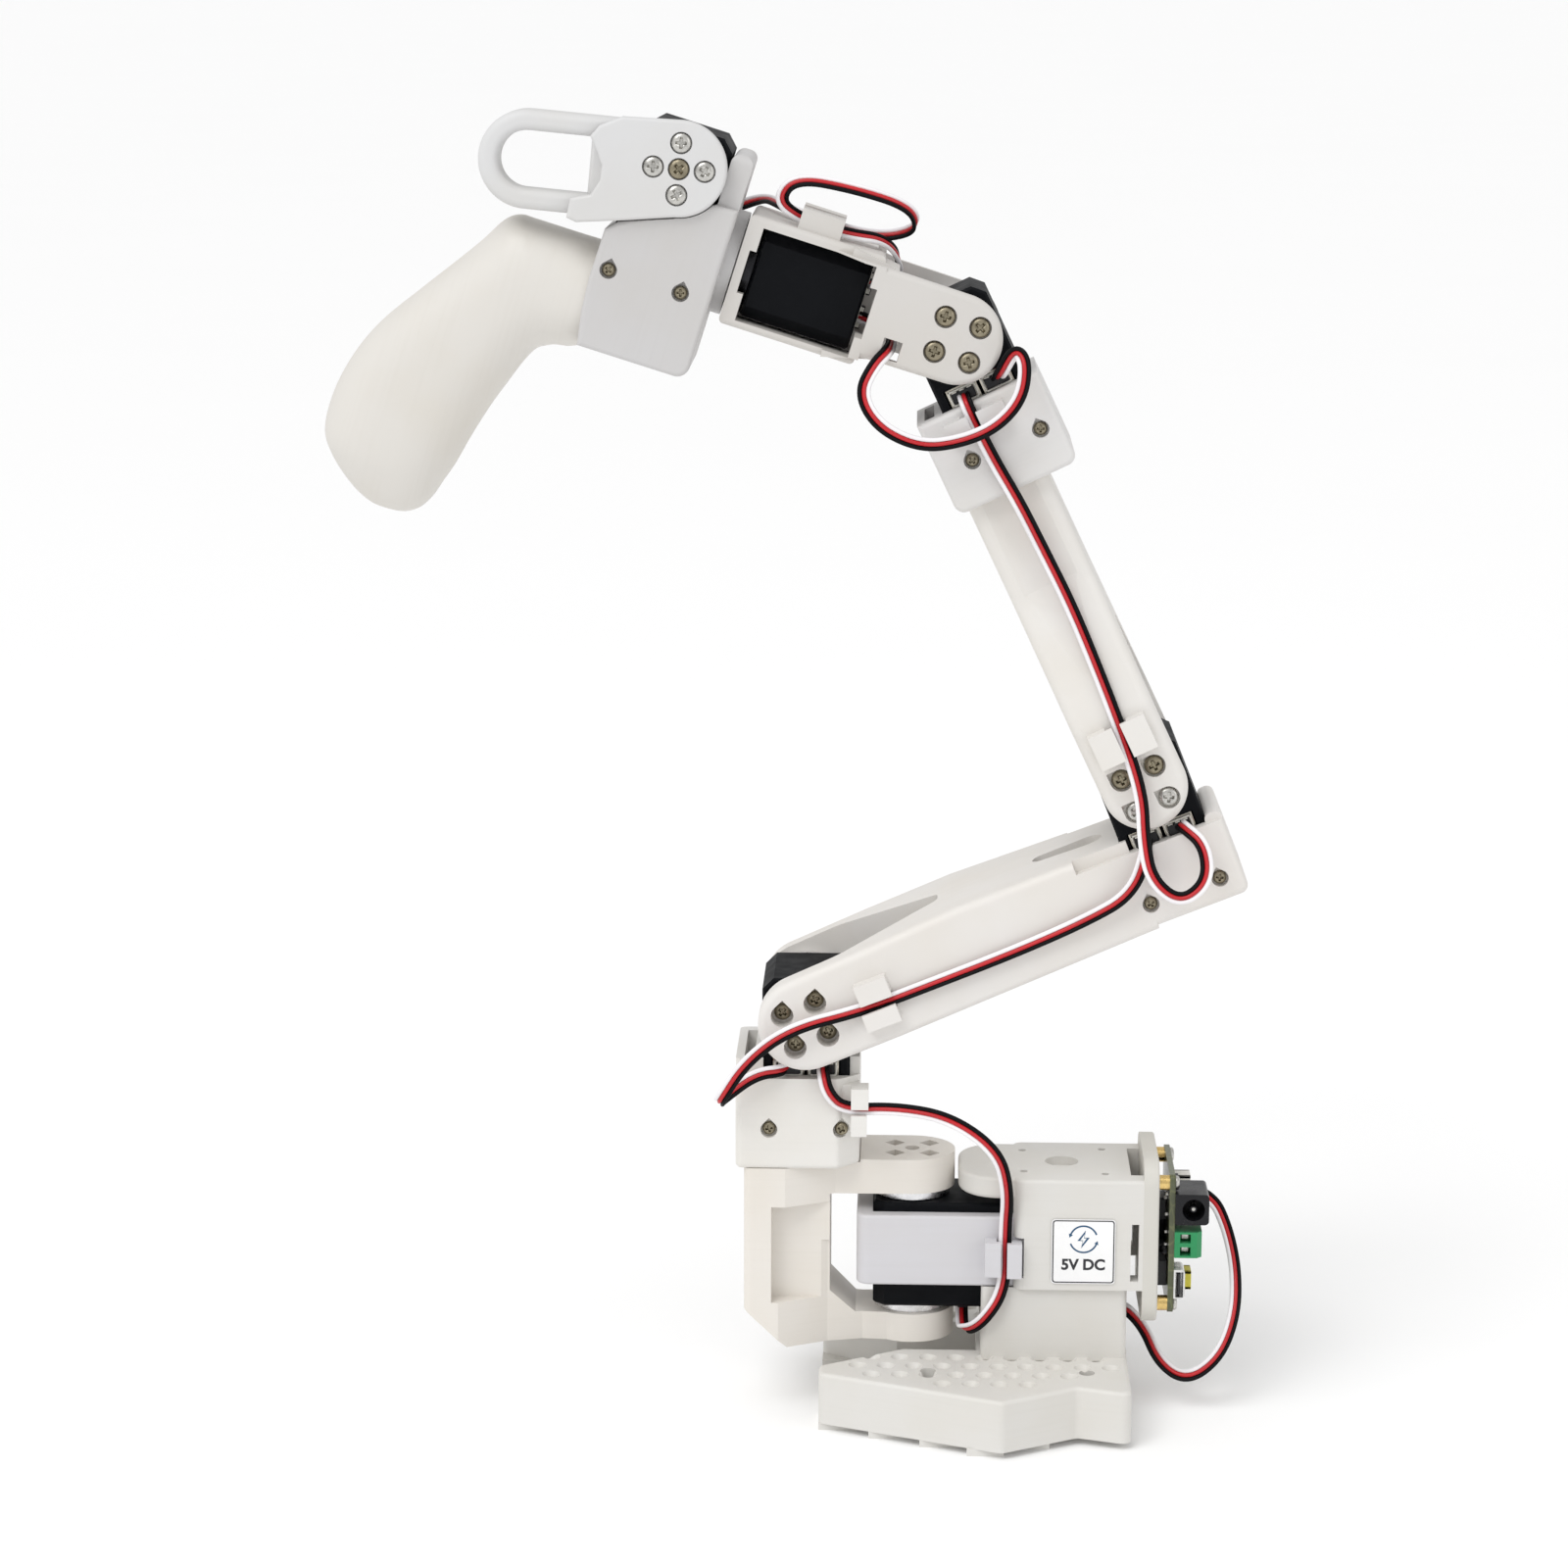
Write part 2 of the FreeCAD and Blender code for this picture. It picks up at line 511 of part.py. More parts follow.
def lift_servo_holder():
    """The holder on top of the pan bracket: the servo stands in it on its far end."""
    x_mid = LIFT_AXIS[0]
    outline = [(x_mid - 19.8, -20), (x_mid + 9.2, -20), (x_mid + 15.3, -13.9), (x_mid + 15.3, 13.9),
               (x_mid + 9.2, 20), (x_mid - 19.8, 20)]
    shell = prism_z(outline, LIFT_HOLDER_LOW, 99.6)
    shell = shell.makeFillet(2.0, edges_along(shell, Z_AXIS))
    shell = shell.makeFillet(1.5, edges_on(shell, Z_AXIS, LIFT_HOLDER_LOW))
    side_left = block(x_mid - 19.8, x_mid - 12.0, -17.5, 17.5, 95, 104.6)
    side_left = side_left.makeFillet(2.0, edges_along(side_left, Z_AXIS, lambda c: c.x < x_mid - 15))
    side_right = block(x_mid + 12.0, x_mid + 15.3, -13.5, 13.5, 95, 104.6)
    gap = SERVO_CLEARANCE
    room = block(x_mid - CASE_HALF_WIDTH - gap, x_mid + CASE_HALF_WIDTH + gap,
                 -CASE_HALF_DEPTH - gap, CASE_HALF_DEPTH + gap, LIFT_AXIS[1] - CASE_BACK - gap, 130)
    slot = block(x_mid - 17.4, x_mid - 14.6, -13.5, 13.5, 86, 120)
    places = [(x_mid + s * CASE_SCREW_Z, LIFT_AXIS[1] - CASE_SCREW_X) for s in (-1, 1)]
    lugs = [block(x_mid + 9.7, x_mid + 15.3, -18.8, -13.0, 84.0, 97.8),
            block(x_mid + 13.0, x_mid + 17.9, -22.4, -16.8, 93.2, 97.8),
            block(x_mid + 13.0, x_mid + 17.9, -23.9, -22.4, 91.8, 97.8),
            block(x_mid + 13.0, x_mid + 17.4, -22.4, -16.8, 84.0, 88.6),
            block(x_mid + 13.0, x_mid + 17.4, -23.9, -22.4, 84.0, 90.0)]
    whole = join([shell, side_left, side_right] + lugs)
    return cut(whole, [room, slot] + holder_holes(places, MOUNT_SCREW_FLOOR, 20, 90))


# ---- upper arm ------------------------------------------------------------------------------------
UPPER_END_RADIUS = 13.3
UPPER_OUTER = 25.5
UPPER_FLOOR = HORN_FACE + 1.4
BOX_X = (96.0, 129.5)
BOX_LOW = -10.5
BOX_WALL_TOP = 11.7


def upper_arm():
    """Two side plates that merge into a Y-shaped beam and end in the elbow servo holder."""
    side = join([rod_y(0, 0, UPPER_END_RADIUS, -26, 26),
                 prism_y([(0, -UPPER_END_RADIUS), (BOX_X[0] + 6, -11.6), (BOX_X[0] + 6, 15.0), (50, 15.6),
                          (0, UPPER_END_RADIUS)], -26, 26)])
    plan_outline = [(-14, -UPPER_OUTER), (24, -UPPER_OUTER), (100, -20), (104, -20), (104, 20), (100, 20),
                    (24, UPPER_OUTER), (-14, UPPER_OUTER), (-14, HORN_FACE), (15, HORN_FACE),
                    (46, 3.2), (46, -3.2), (15, -HORN_FACE), (-14, -HORN_FACE)]
    plan = prism_z(plan_outline, -20, 30)
    plan = plan.makeFillet(3.0, edges_along(plan, Z_AXIS, lambda c: c.x == 46))
    plan = plan.makeFillet(12.0, edges_along(plan, Z_AXIS, lambda c: c.x in (15, 24)))
    beam = side.common(plan)
    rims = []
    for face in beam.Faces:
        flat = face.Surface.TypeId == "Part::GeomPlane" and abs(face.normalAt(0, 0).y) > 0.9
        if flat and abs(face.CenterOfMass.y) > 19.0 and face.Area > 400:
            rims += [e for e in face.Edges if e.CenterOfMass.x < 92 and abs(e.CenterOfMass.z) > 5]
    beam = beam.makeFillet(2.2, rims)
    pocket = join([rod_z(78, 0, 3.2, -30, 30), rod_z(91, 0, 4.6, -30, 30),
                   prism_z([(78, -3.2), (91, -4.6), (91, 4.6), (78, 3.2)], -30, 30)])
    box = prism_y([(BOX_X[0], BOX_LOW), (BOX_X[1], BOX_LOW), (BOX_X[1], BOX_WALL_TOP),
                   (BOX_X[0], BOX_WALL_TOP)], -20, 20)
    box = box.makeFillet(2.5, edges_along(box, Y_AXIS, lambda c: c.z < 0))
    box = box.makeFillet(2.0, edges_along(box, Z_AXIS, lambda c: c.x > 120))
    right = block(124.6, BOX_X[1], -17.4, 17.4, 5, 14)
    right = right.makeFillet(2.0, edges_along(right, Y_AXIS, lambda c: c.z > 13))
    gap = SERVO_CLEARANCE
    room = block(ELBOW_IN_UPPER[0] - CASE_HALF_WIDTH - gap, ELBOW_IN_UPPER[0] + CASE_HALF_WIDTH + gap,
                 -CASE_HALF_DEPTH - gap, CASE_HALF_DEPTH + gap,
                 ELBOW_IN_UPPER[1] - CASE_BACK - gap, 60)
    places = [(ELBOW_IN_UPPER[0] + s * CASE_SCREW_Z, ELBOW_IN_UPPER[1] - CASE_SCREW_X) for s in (-1, 1)]
    clip = [block(17, 26.4, -28.9, -24.5, 1.4, 6.3), block(17, 26.4, -30.4, -28.9, 0.4, 6.3),
            block(16.3, 26.4, -28.9, -24.5, -7.2, -3.6), block(16.3, 26.4, -30.4, -28.9, -7.2, -2.2)]
    clearance = block(BOX_X[0] - 10, BOX_X[1] + 5, -40, -17.6, BOX_WALL_TOP, 40)
    clearance = clearance.fuse(mirrored_y(clearance))
    whole = join([beam.cut(pocket), box, right]).cut(clearance)
    tools = [room] + clevis_holes(45, UPPER_FLOOR, UPPER_OUTER, 90 - UPPER_ANGLE)
    tools += holder_holes(places, MOUNT_SCREW_FLOOR, 20, 90)
    return join([cut(whole, tools)] + clip)


# ---- forearm --------------------------------------------------------------------------------------
FOREARM_RADIUS = 12.0
FOREARM_OUTER = 22.6
FOREARM_FLOOR = HORN_FACE + 2.4
WRIST_BOX_X = (90.5, 117.6)
WRIST_BOX_Z = (-21.2, 14.9)


def forearm_beam():
    """Two side plates on the elbow horns that merge into a beam with two rounded ridges."""
    side = join([rod_y(0, 0, FOREARM_RADIUS, -26, 26),
                 block(0, WRIST_BOX_X[0], -26, 26, -FOREARM_RADIUS, FOREARM_RADIUS)])
    plan_outline = [(-14, -FOREARM_OUTER), (22, -FOREARM_OUTER), (60, -15.5), (WRIST_BOX_X[0], -15.5),
                    (WRIST_BOX_X[0], 15.5), (60, 15.5), (22, FOREARM_OUTER), (-14, FOREARM_OUTER),
                    (-14, HORN_FACE), (20, HORN_FACE), (44, 3.2), (44, -3.2), (20, -HORN_FACE),
                    (-14, -HORN_FACE)]
    plan = prism_z(plan_outline, -20, 30)
    plan = plan.makeFillet(3.0, edges_along(plan, Z_AXIS, lambda c: c.x == 44))
    plan = plan.makeFillet(10.0, edges_along(plan, Z_AXIS, lambda c: c.x in (20, 22, 60)))
    beam = side.common(plan)
    long_edges = []
    for z in (-FOREARM_RADIUS, FOREARM_RADIUS):
        long_edges += edges_on(beam, Z_AXIS, z, lambda c: c.x > 24 and abs(c.y) > 14)
    beam = beam.makeFillet(3.0, long_edges)
    valley = join([rod_x(-36, 0, 22, 62, WRIST_BOX_X[0] + 5),
                   Part.makeCone(13.0, 22, 40, Vec(22, -36, 0), Vec(1, 0, 0))])
    clip = [block(10.5, 20.5, -26.4, -21.6, 3.2, 8.4), block(10.5, 20.5, -27.9, -26.4, 1.2, 8.4),
            block(10.5, 20.5, -26.4, -21.6, -8.4, -3.2), block(10.5, 20.5, -27.9, -26.4, -8.4, -1.2)]
    whole = beam.cut(valley)
    whole = cut(whole, clevis_holes(45, FOREARM_FLOOR, FOREARM_OUTER, 45))
    return join([whole] + clip)


def wrist_servo_holder():
    """The holder at the top of the forearm, with a hollow wall on its front side."""
    outer = block(WRIST_BOX_X[0], WRIST_BOX_X[1], -20, 20, *WRIST_BOX_Z)
    outer = outer.makeFillet(3.0, edges_along(outer, Y_AXIS, lambda c: c.x < 100))
    outer = outer.makeFillet(1.5, edges_on(outer, Y_AXIS, -20) + edges_on(outer, Y_AXIS, 20))
    gap = SERVO_CLEARANCE
    x_axis, z_axis = WRIST_IN_FOREARM
    room = block(x_axis - CASE_BACK - gap, 150, -CASE_HALF_DEPTH - gap, CASE_HALF_DEPTH + gap,
                 z_axis - CASE_HALF_WIDTH - gap, z_axis + CASE_HALF_WIDTH + gap)
    slot = block(104, 130, -13.5, 13.5, 9.6, 12.6)
    places = [(x_axis - CASE_SCREW_X, z_axis + s * CASE_SCREW_Z) for s in (-1, 1)]
    clip = [block(109.8, 115.2, -24.2, -19.5, 3.2, 8.2), block(109.8, 115.2, -25.7, -24.2, 1.4, 8.2),
            block(109.8, 115.2, -24.2, -19.5, -9.4, -3.2), block(109.8, 115.2, -25.7, -24.2, -9.4, -1.4)]
    tools = [room, slot] + holder_holes(places, MOUNT_SCREW_FLOOR, 20, 0)
    return join([cut(outer, tools)] + clip)


# ---- wrist ----------------------------------------------------------------------------------------
WRIST_RADIUS = 12.4
WRIST_OUTER = 22.4
WRIST_FLOOR = HORN_FACE + 2.6
FRAME_X = (24.8, 63.5)
FRAME_Z = (-14.8, 16.2)
FRAME_NEAR = -15.0
FRAME_FAR = 24.0


def wrist_bracket():
    """The clevis on the wrist servo and the frame that the roll servo lies in."""
    plates = []
    for s in (-1, 1):
        ends = sorted((s * HORN_FACE, s * WRIST_OUTER))
        plate = join([rod_y(0, 0, WRIST_RADIUS, *ends),
                      prism_y([(0, -WRIST_RADIUS), (23, -12.6), (30, -12.6), (30, 13.6), (23, 12.6),
                               (0, WRIST_RADIUS)], *ends)])
        rims = edges_on(plate, Y_AXIS, s * WRIST_OUTER, lambda c: c.x < 29)
        plates.append(plate.makeFillet(1.6, rims))
    shoulder = prism_y([(20.5, -12.6), (34, FRAME_Z[0]), (34, FRAME_Z[1]), (20.5, 12.6)], -18.1, 18.1)
    box = block(FRAME_X[0], FRAME_X[1], FRAME_NEAR, FRAME_FAR, *FRAME_Z)
    box = box.makeFillet(1.6, edges_along(box, X_AXIS) + edges_along(box, Y_AXIS))
    taper = [prism_z([(24, s * 18.1), (24, s * WRIST_OUTER), (30, s * WRIST_OUTER), (38, s * 15),
                      (38, s * 13)], -12.6, 13.6) for s in (-1, 1)]
    swing = rod_y(0, 0, 20.3, -HORN_FACE, HORN_FACE)
    whole = join(plates + [shoulder, box] + taper).cut(swing)
    gap = SERVO_CLEARANCE
    mid = ROLL_HORN_FACE - HORN_FACE
    room = block(mid - CASE_HALF_DEPTH - gap, mid + CASE_HALF_DEPTH + gap, -CASE_FRONT - gap, 60,
                 ROLL_DROP - CASE_HALF_WIDTH - gap, ROLL_DROP + CASE_HALF_WIDTH + gap)
    window = block(mid - 16.2, mid + 16.2, -40, 0, ROLL_DROP - 12.8, ROLL_DROP + 13.4)
    notches = [block(mid + 13, mid + 18.0, -40, 0, ROLL_DROP - 6, ROLL_DROP + 6),
               block(mid - 18.2, mid - 13, -40, 0, ROLL_DROP - 7, ROLL_DROP + 7)]
    horn_room = rod_x(0, ROLL_DROP, 12.0, mid, FRAME_X[1] + 1)
    idler_room = rod_x(0, ROLL_DROP, 11.6, 18, mid)
    lead_hole = prism_y([(13.8, 5.4), (19.0, 5.4), (19.0, 11.0), (13.8, 11.0)], -30, -15)
    socket_room = block(19, mid - CASE_HALF_DEPTH, 8, 17.5, ROLL_DROP - 11, ROLL_DROP + 10.5)
    lead_gap = block(19, mid - CASE_HALF_DEPTH, 2, 17.5, FRAME_Z[0] - 1, ROLL_DROP - 5)
    lugs = [block(38.5, 50.5, -12.6, -10.4, FRAME_Z[0] - 4.0, FRAME_Z[0] + 1),
            block(38.5, 50.5, -12.6, -3.6, FRAME_Z[0] - 5.6, FRAME_Z[0] - 4.0),
            block(38.5, 50.5, 8.4, 10.6, FRAME_Z[0] - 4.0, FRAME_Z[0] + 1),
            block(38.5, 50.5, 1.6, 10.6, FRAME_Z[0] - 5.6, FRAME_Z[0] - 4.0)]
    tools = [room, window, *notches, horn_room, idler_room, lead_hole, socket_room, lead_gap]
    tools += clevis_holes(45, WRIST_FLOOR, WRIST_OUTER, bore=3.1)
    return join([cut(whole, tools)] + lugs)


# ---- handle ---------------------------------------------------------------------------------------
HOUSING_X = (67.0, 100.0)
HOUSING_LOW = 33.4
COLLAR_X = 63.9


def trigger_servo_housing():
    """The block that turns on the roll horn, holds the trigger servo and carries the grip."""
    side = prism_y([(67, -14.6), (73.2, -14.4), (97.3, -1.9), (100.2, 1.0), (100.4, 15), (99.8, 24),
                    (98.2, HOUSING_LOW), (67, HOUSING_LOW)], -20, 20)
    side = side.makeFillet(3.6, edges_along(side, Y_AXIS, lambda c: c.x < 68 and c.z > 30))
    side = side.makeFillet(1.2, edges_on(side, Y_AXIS, -20) + edges_on(side, Y_AXIS, 20))
    plate = block(67, 73.0, -17.3, 17.3, -29.2, 10)
    plate = plate.makeFillet(2.6, edges_on(plate, Z_AXIS, -29.2))
    collar = rod_x(0, ROLL_DROP, 14.6, COLLAR_X, 68)
    boss = rod_x(0, ROLL_DROP, 11.0, ROLL_HORN_FACE, 68)
    gap = SERVO_CLEARANCE
    x_axis, z_axis = TRIGGER_IN_WRIST
    room = block(x_axis - CASE_HALF_WIDTH - gap, x_axis + CASE_HALF_WIDTH + gap, -CASE_HALF_DEPTH - gap,
                 CASE_HALF_DEPTH + gap, -60, z_axis + CASE_BACK + gap)
    swing = join([prism_y([(60, -60), (60, -15.5), (73.2, -14.6), (83, -7.4), (97.4, -1.9), (110, 3),
                           (110, -60)], -30, -HORN_FACE + 0.3),
                  rod_y(x_axis, z_axis, TRIGGER_RADIUS + 0.4, -30, -HORN_FACE + 0.3)])
    whole = join([side, plate, collar, boss]).cut(room).cut(swing)
    tools = holder_holes([(x_axis + s * CASE_SCREW_Z, z_axis + CASE_SCREW_X) for s in (-1, 1)],
                         MOUNT_SCREW_FLOOR, 20, -90)
    for y, z in on_circle(45):
        tools.append(rod_x(y, z + ROLL_DROP, 1.6, 60, 90))
        tools.append(rod_x(y, z + ROLL_DROP, 3.0, 64.4, 90))
    tools.append(block(75.5, 96, CASE_HALF_DEPTH - 1, 21, -16, -3.5))
    tools.append(block(76, 96, -12, 12, 16.5, 30.5))
    return cut(whole, tools)


def roll_screws():
    screws = []
    for y, z in on_circle(45):
        head = rod_x(y, z + ROLL_DROP, 2.7, 64.4, 66.1)
        screws.append(head.fuse(rod_x(y, z + ROLL_DROP, 1.4, 59.2, 64.4)))
    return screws


# sections of the grip: X and Z of the centre, half height, half depth, heading in the XZ plane
GRIP_SECTIONS = [(99.2, 20.0, 15.6, 18.5, 2), (107.8, 21.4, 16.2, 18.2, 20.8), (115.2, 21.8, 18.4, 17.5, 33.6),
                 (120.8, 27.9, 16.5, 16.8, 44.1), (124.6, 34.1, 16.4, 16.2, 51.9),
                 (129.4, 42.8, 17.4, 15.6, 59.5), (134.6, 52.7, 19.0, 15.0, 66.5),
                 (138.2, 62.8, 19.8, 14.6, 71.5), (140.4, 72.8, 19.6, 14.0, 75.4),
                 (141.8, 82.7, 18.1, 12.5, 80), (140.2, 88.5, 14.2, 10.0, 82), (136.8, 94.3, 7.3, 5.5, 87.6)]
GRIP_SQUARENESS = 2.5


def rounded_section(half_height, half_depth):
    """A closed smooth curve between an ellipse and a rectangle, in the XY plane."""
    points = []
    for k in range(16):
        a = 2 * math.pi * k / 16
        across, deep = (math.copysign(abs(v) ** (2 / GRIP_SQUARENESS), v) for v in (math.cos(a), math.sin(a)))
        points.append(Vec(half_height * across, half_depth * deep, 0))
    curve = Part.BSplineCurve()
    curve.interpolate(Points=points, PeriodicFlag=True)
    return Part.Wire(curve.toShape())


def grip():
    """The pistol grip, rounded all over and wider at its foot, closed against the housing."""
    wires = []
    for x, z, half_height, half_depth, heading in GRIP_SECTIONS:
        a = math.radians(heading)
        place = basis((x, 0, z), (-math.sin(a), 0, math.cos(a)), (0, 1, 0))
        wires.append(placed(rounded_section(half_height, half_depth), place))
    return Part.makeLoft(wires, True, False)


# ---- trigger --------------------------------------------------------------------------------------
TRIGGER_RADIUS = 13.0
TRIGGER_OUTER = 22.3
TRIGGER_FLOOR = HORN_FACE + 2.9
RING_Y = (-17.2, -5.2)
RING_MID_Z = 1.9
RING_STRAIGHT = (24.0, 41.6)


def ring_trigger():
    """The plate on the trigger horn and the finger ring behind it."""
    plate = join([rod_y(0, 0, TRIGGER_RADIUS, -TRIGGER_OUTER, -HORN_FACE),
                  prism_y([(0, -TRIGGER_RADIUS), (16.5, -12.4), (22.5, -9.4), (24.6, -6.4), (22.4, -2.4),
                           (20.8, 1.2), (21.0, 5.2), (23.2, 9.2), (28.6, 10.6), (29.2, 16.0),
                           (26.5, 17.0), (15.0, 15.4), (0, TRIGGER_RADIUS)],
                          -TRIGGER_OUTER, -HORN_FACE)])
    plate = plate.makeFillet(0.9, edges_on(plate, Y_AXIS, -TRIGGER_OUTER))
    inner, outer = 7.8, 13.4
    x0, x1 = RING_STRAIGHT
    hoop = join([rod_y(x1, RING_MID_Z, outer, *RING_Y),
                 block(x0 - 6, x1, *RING_Y, RING_MID_Z - outer, RING_MID_Z + outer)])
    slot = join([rod_y(x1, RING_MID_Z, inner, -40, 20),
                 block(x0 + 0.5, x1, -40, 20, RING_MID_Z - inner, RING_MID_Z + inner)])
    hoop = hoop.cut(slot)
    hoop = hoop.makeFillet(2.2, edges_on(hoop, Y_AXIS, RING_Y[0]) + edges_on(hoop, Y_AXIS, RING_Y[1]))
    neck = block(18.4, 23.4, -HORN_FACE, RING_Y[0] + 4, RING_MID_Z - 9, RING_MID_Z + 9)
    tools = clevis_holes(0, TRIGGER_FLOOR, TRIGGER_OUTER, bore=3.0, sides=(-1,))
    tools += [rod_y(0, 0, 1.6, -30, -HORN_FACE + 1), rod_y(0, 0, 3.0, -30, -TRIGGER_FLOOR)]
    return cut(join([plate, hoop, neck]), tools)


# ---- leads ----------------------------------------------------------------------------------------
# Routes by hand, from socket to socket, in the object's own frame.
BOARD_PAN = [(80.4, 9.5, 59.4), (87.0, 9.3, 58.0), (91.5, 6.0, 49.0), (93.8, -1.5, 38.5),
             (93.2, -8.5, 27.0), (88.5, -13.0, 16.0), (79.5, -13.0, 9.0), (71.8, -6.5, 12.0),
             (67.5, 2.5, 20.5), (60.0, 6.0, 26.3), (46.0, 6.2, 26.6), (29.0, 5.8, 26.6),
             (16.5, 5.3, 25.5), (14.8, 5.0, 30.3)]
PAN_LIFT = [(14.6, -5.1, 30.3), (14.6, -6.5, 25.6), (15.0, -15.5, 23.8), (20.5, -21.0, 28.5),
            (26.8, -18.7, 38.0), (26.5, -18.4, 55.0), (27.2, -23.0, 68.5), (24.0, -25.0, 80.5),
            (11.0, -24.8, 90.0), (-4.0, -22.0, 92.0), (-19.2, -20.6, 91.0), (-24.0, -24.0, 96.5),
            (-25.5, -22.0, 102.6), (-25.5, -14.8, 102.0)]
LIFT_ELBOW = [(-35.3, -14.8, 102.0), (-36.0, -21.6, 102.5), (-44.5, -23.5, 102.0), (-54.0, -24.5, 94.6),
              (-54.5, -32.0, 95.8), (-47.0, -32.5, 108.0), (-34.5, -31.0, 117.4),
              (-14.2, -27.3, 121.9), (5.2, -26.6, 129.6), (27.5, -25.0, 138.4), (47.5, -24.0, 147.4),
              (60.5, -24.8, 155.4), (64.6, -23.0, 168.6), (64.3, -14.8, 169.5)]
ELBOW_WRIST = [(73.5, -14.8, 173.3), (73.9, -22.0, 174.4), (80.0, -28.0, 170.3), (80.9, -31.0, 160.5),
               (73.3, -31.5, 154.3), (65.2, -30.0, 160.5), (63.0, -28.5, 171.5), (62.4, -27.5, 184.1),
               (56.4, -24.5, 201.3), (49.0, -22.0, 219.6), (41.8, -18.9, 236.1), (34.0, -18.4, 251.2),
               (27.2, -22.6, 264.7), (20.2, -22.3, 276.1), (14.1, -22.4, 288.2), (12.1, -21.4, 292.9),
               (11.9, -14.8, 293.3)]
WRIST_ROLL = [(20.9, -14.8, 297.6), (21.5, -21.5, 298.3), (25.6, -26.0, 306.8), (28.6, -31.2, 303.8),
              (27.6, -31.2, 294.0), (21.0, -30.4, 286.2), (11.5, -29.5, 281.9), (0.5, -29.5, 280.4),
              (-10.9, -29.5, 285.6), (-16.2, -29.0, 294.6), (-12.2, -27.0, 302.4), (-8.2, -21.5, 305.8),
              (-7.8, -7.0, 306.3), (-7.8, 8.0, 306.9), (-11.2, 13.6, 309.1), (-17.3, 13.6, 311.4)]
ROLL_TRIGGER = [(-14.3, 13.6, 320.8), (-8.9, 13.4, 320.1), (-5.0, 8.5, 326.5), (-9.1, 0.0, 333.9),
                (-20.1, -5.5, 335.7), (-32.5, -6.0, 339.6), (-39.4, -7.5, 345.0), (-34.2, -8.5, 351.4),
                (-18.2, -7.5, 348.4), (-3.0, -4.0, 343.4), (-0.4, 1.0, 337.0), (-10.1, 4.2, 334.1),
                (-23.0, 4.4, 336.6), (-35.2, 5.4, 341.0), (-39.8, 13.5, 342.8), (-44.0, 22.5, 343.8),
                (-53.5, 25.0, 340.4), (-63.0, 23.5, 339.4), (-64.7, 15.2, 339.7)]


def lead(name, points):
    """A round tube along straight runs joined by tangent arcs, each as large as its runs allow."""
    route = [Vec(*p) for p in points]
    edges, start, radii = [], route[0], []
    for before, corner, after in zip(route, route[1:], route[2:]):
        into, out = (corner - before), (after - corner)
        shorter = min(into.Length, out.Length)
        into.normalize()
        out.normalize()
        turn = into.getAngle(out)
        assert math.degrees(turn) < 91, (name, corner, math.degrees(turn))
        reach = 0.45 * shorter
        radii.append(reach / math.tan(turn / 2))
        first, last = corner - into * reach, corner + out * reach
        towards = (out - into).normalize()
        middle = corner + towards * (radii[-1] / math.cos(turn / 2) - radii[-1])
        edges.append(Part.LineSegment(start, first).toShape())
        edges.append(Part.Arc(first, middle, last).toShape())
        start = last
    edges.append(Part.LineSegment(start, route[-1]).toShape())
    path = Part.Wire(edges)
    way = (route[1] - route[0]).normalize()
    section = Part.Wire(Part.Circle(route[0], way, LEAD_DIAMETER / 2).toShape())
    tube = path.makePipeShell([section], True, False, 2)
    expected = math.pi * (LEAD_DIAMETER / 2) ** 2 * path.Length
    print(f"  {name}: {path.Length:.0f} mm, radii {min(radii):.1f} to {max(radii):.1f}, "
          f"volume ratio {tube.Volume / expected:.3f}")
    return tube


# ---- the assembly ---------------------------------------------------------------------------------
def write_servo(name, placements, both_horns=True, turn=45):
    write(f"{name}_servo_case", *[placed(s, *placements) for s in servo_case()])
    write(f"{name}_servo_internals", *[placed(s, *placements) for s in servo_internals()])
    write(f"{name}_horns", *[placed(s, *placements) for s in servo_horns(turn, both_horns)])


write("base_frame", base_frame())
write("pan_servo_holder", pan_servo_holder())
write("board_plate", board_plate())
write("board_standoffs", *board_standoffs())
write("control_board", control_board())
write("power_jack", *power_jack())
write("screw_terminal", *screw_terminal())
write("usb_socket", *usb_socket())
write("bus_connectors", *bus_connectors())
write("board_components", *board_components())
write("board_screws", *board_screws())
write("rating_sticker", block(39.8, 57.9, -TOWER_HALF_DEPTH - 0.3, -TOWER_HALF_DEPTH, 39.9, 59.0))
write_servo("pan", PAN_SERVO)
write("pan_bracket", pan_bracket())
write("lift_servo_holder", lift_servo_holder())
write_servo("lift", LIFT_SERVO, turn=45 + UPPER_ANGLE)
write("shoulder_screws", *pan_screws(), *[placed(s, *LIFT_SERVO) for s in mount_screw_set(MOUNT_SCREW_FLOOR)])
write("upper_arm", placed(upper_arm(), UPPER))
write_servo("elbow", ELBOW_SERVO, turn=45 + FOREARM_ANGLE - UPPER_ANGLE)
write("upper_arm_screws",
      *[placed(s, UPPER) for s in horn_screw_set(45, UPPER_FLOOR, UPPER_FLOOR)],
      *[placed(s, *ELBOW_SERVO) for s in mount_screw_set(MOUNT_SCREW_FLOOR)])
write("forearm_beam", placed(forearm_beam(), FOREARM))
write("wrist_servo_holder", placed(wrist_servo_holder(), FOREARM))
write_servo("wrist", WRIST_SERVO, turn=45 + WRIST_ANGLE - FOREARM_ANGLE)
write("forearm_screws",
      *[placed(s, FOREARM) for s in horn_screw_set(45, FOREARM_FLOOR, FOREARM_FLOOR)],
      *[placed(s, *WRIST_SERVO) for s in mount_screw_set(MOUNT_SCREW_FLOOR)])
write("wrist_bracket", placed(wrist_bracket(), WRIST))
write_servo("roll", ROLL_SERVO, both_horns=False)
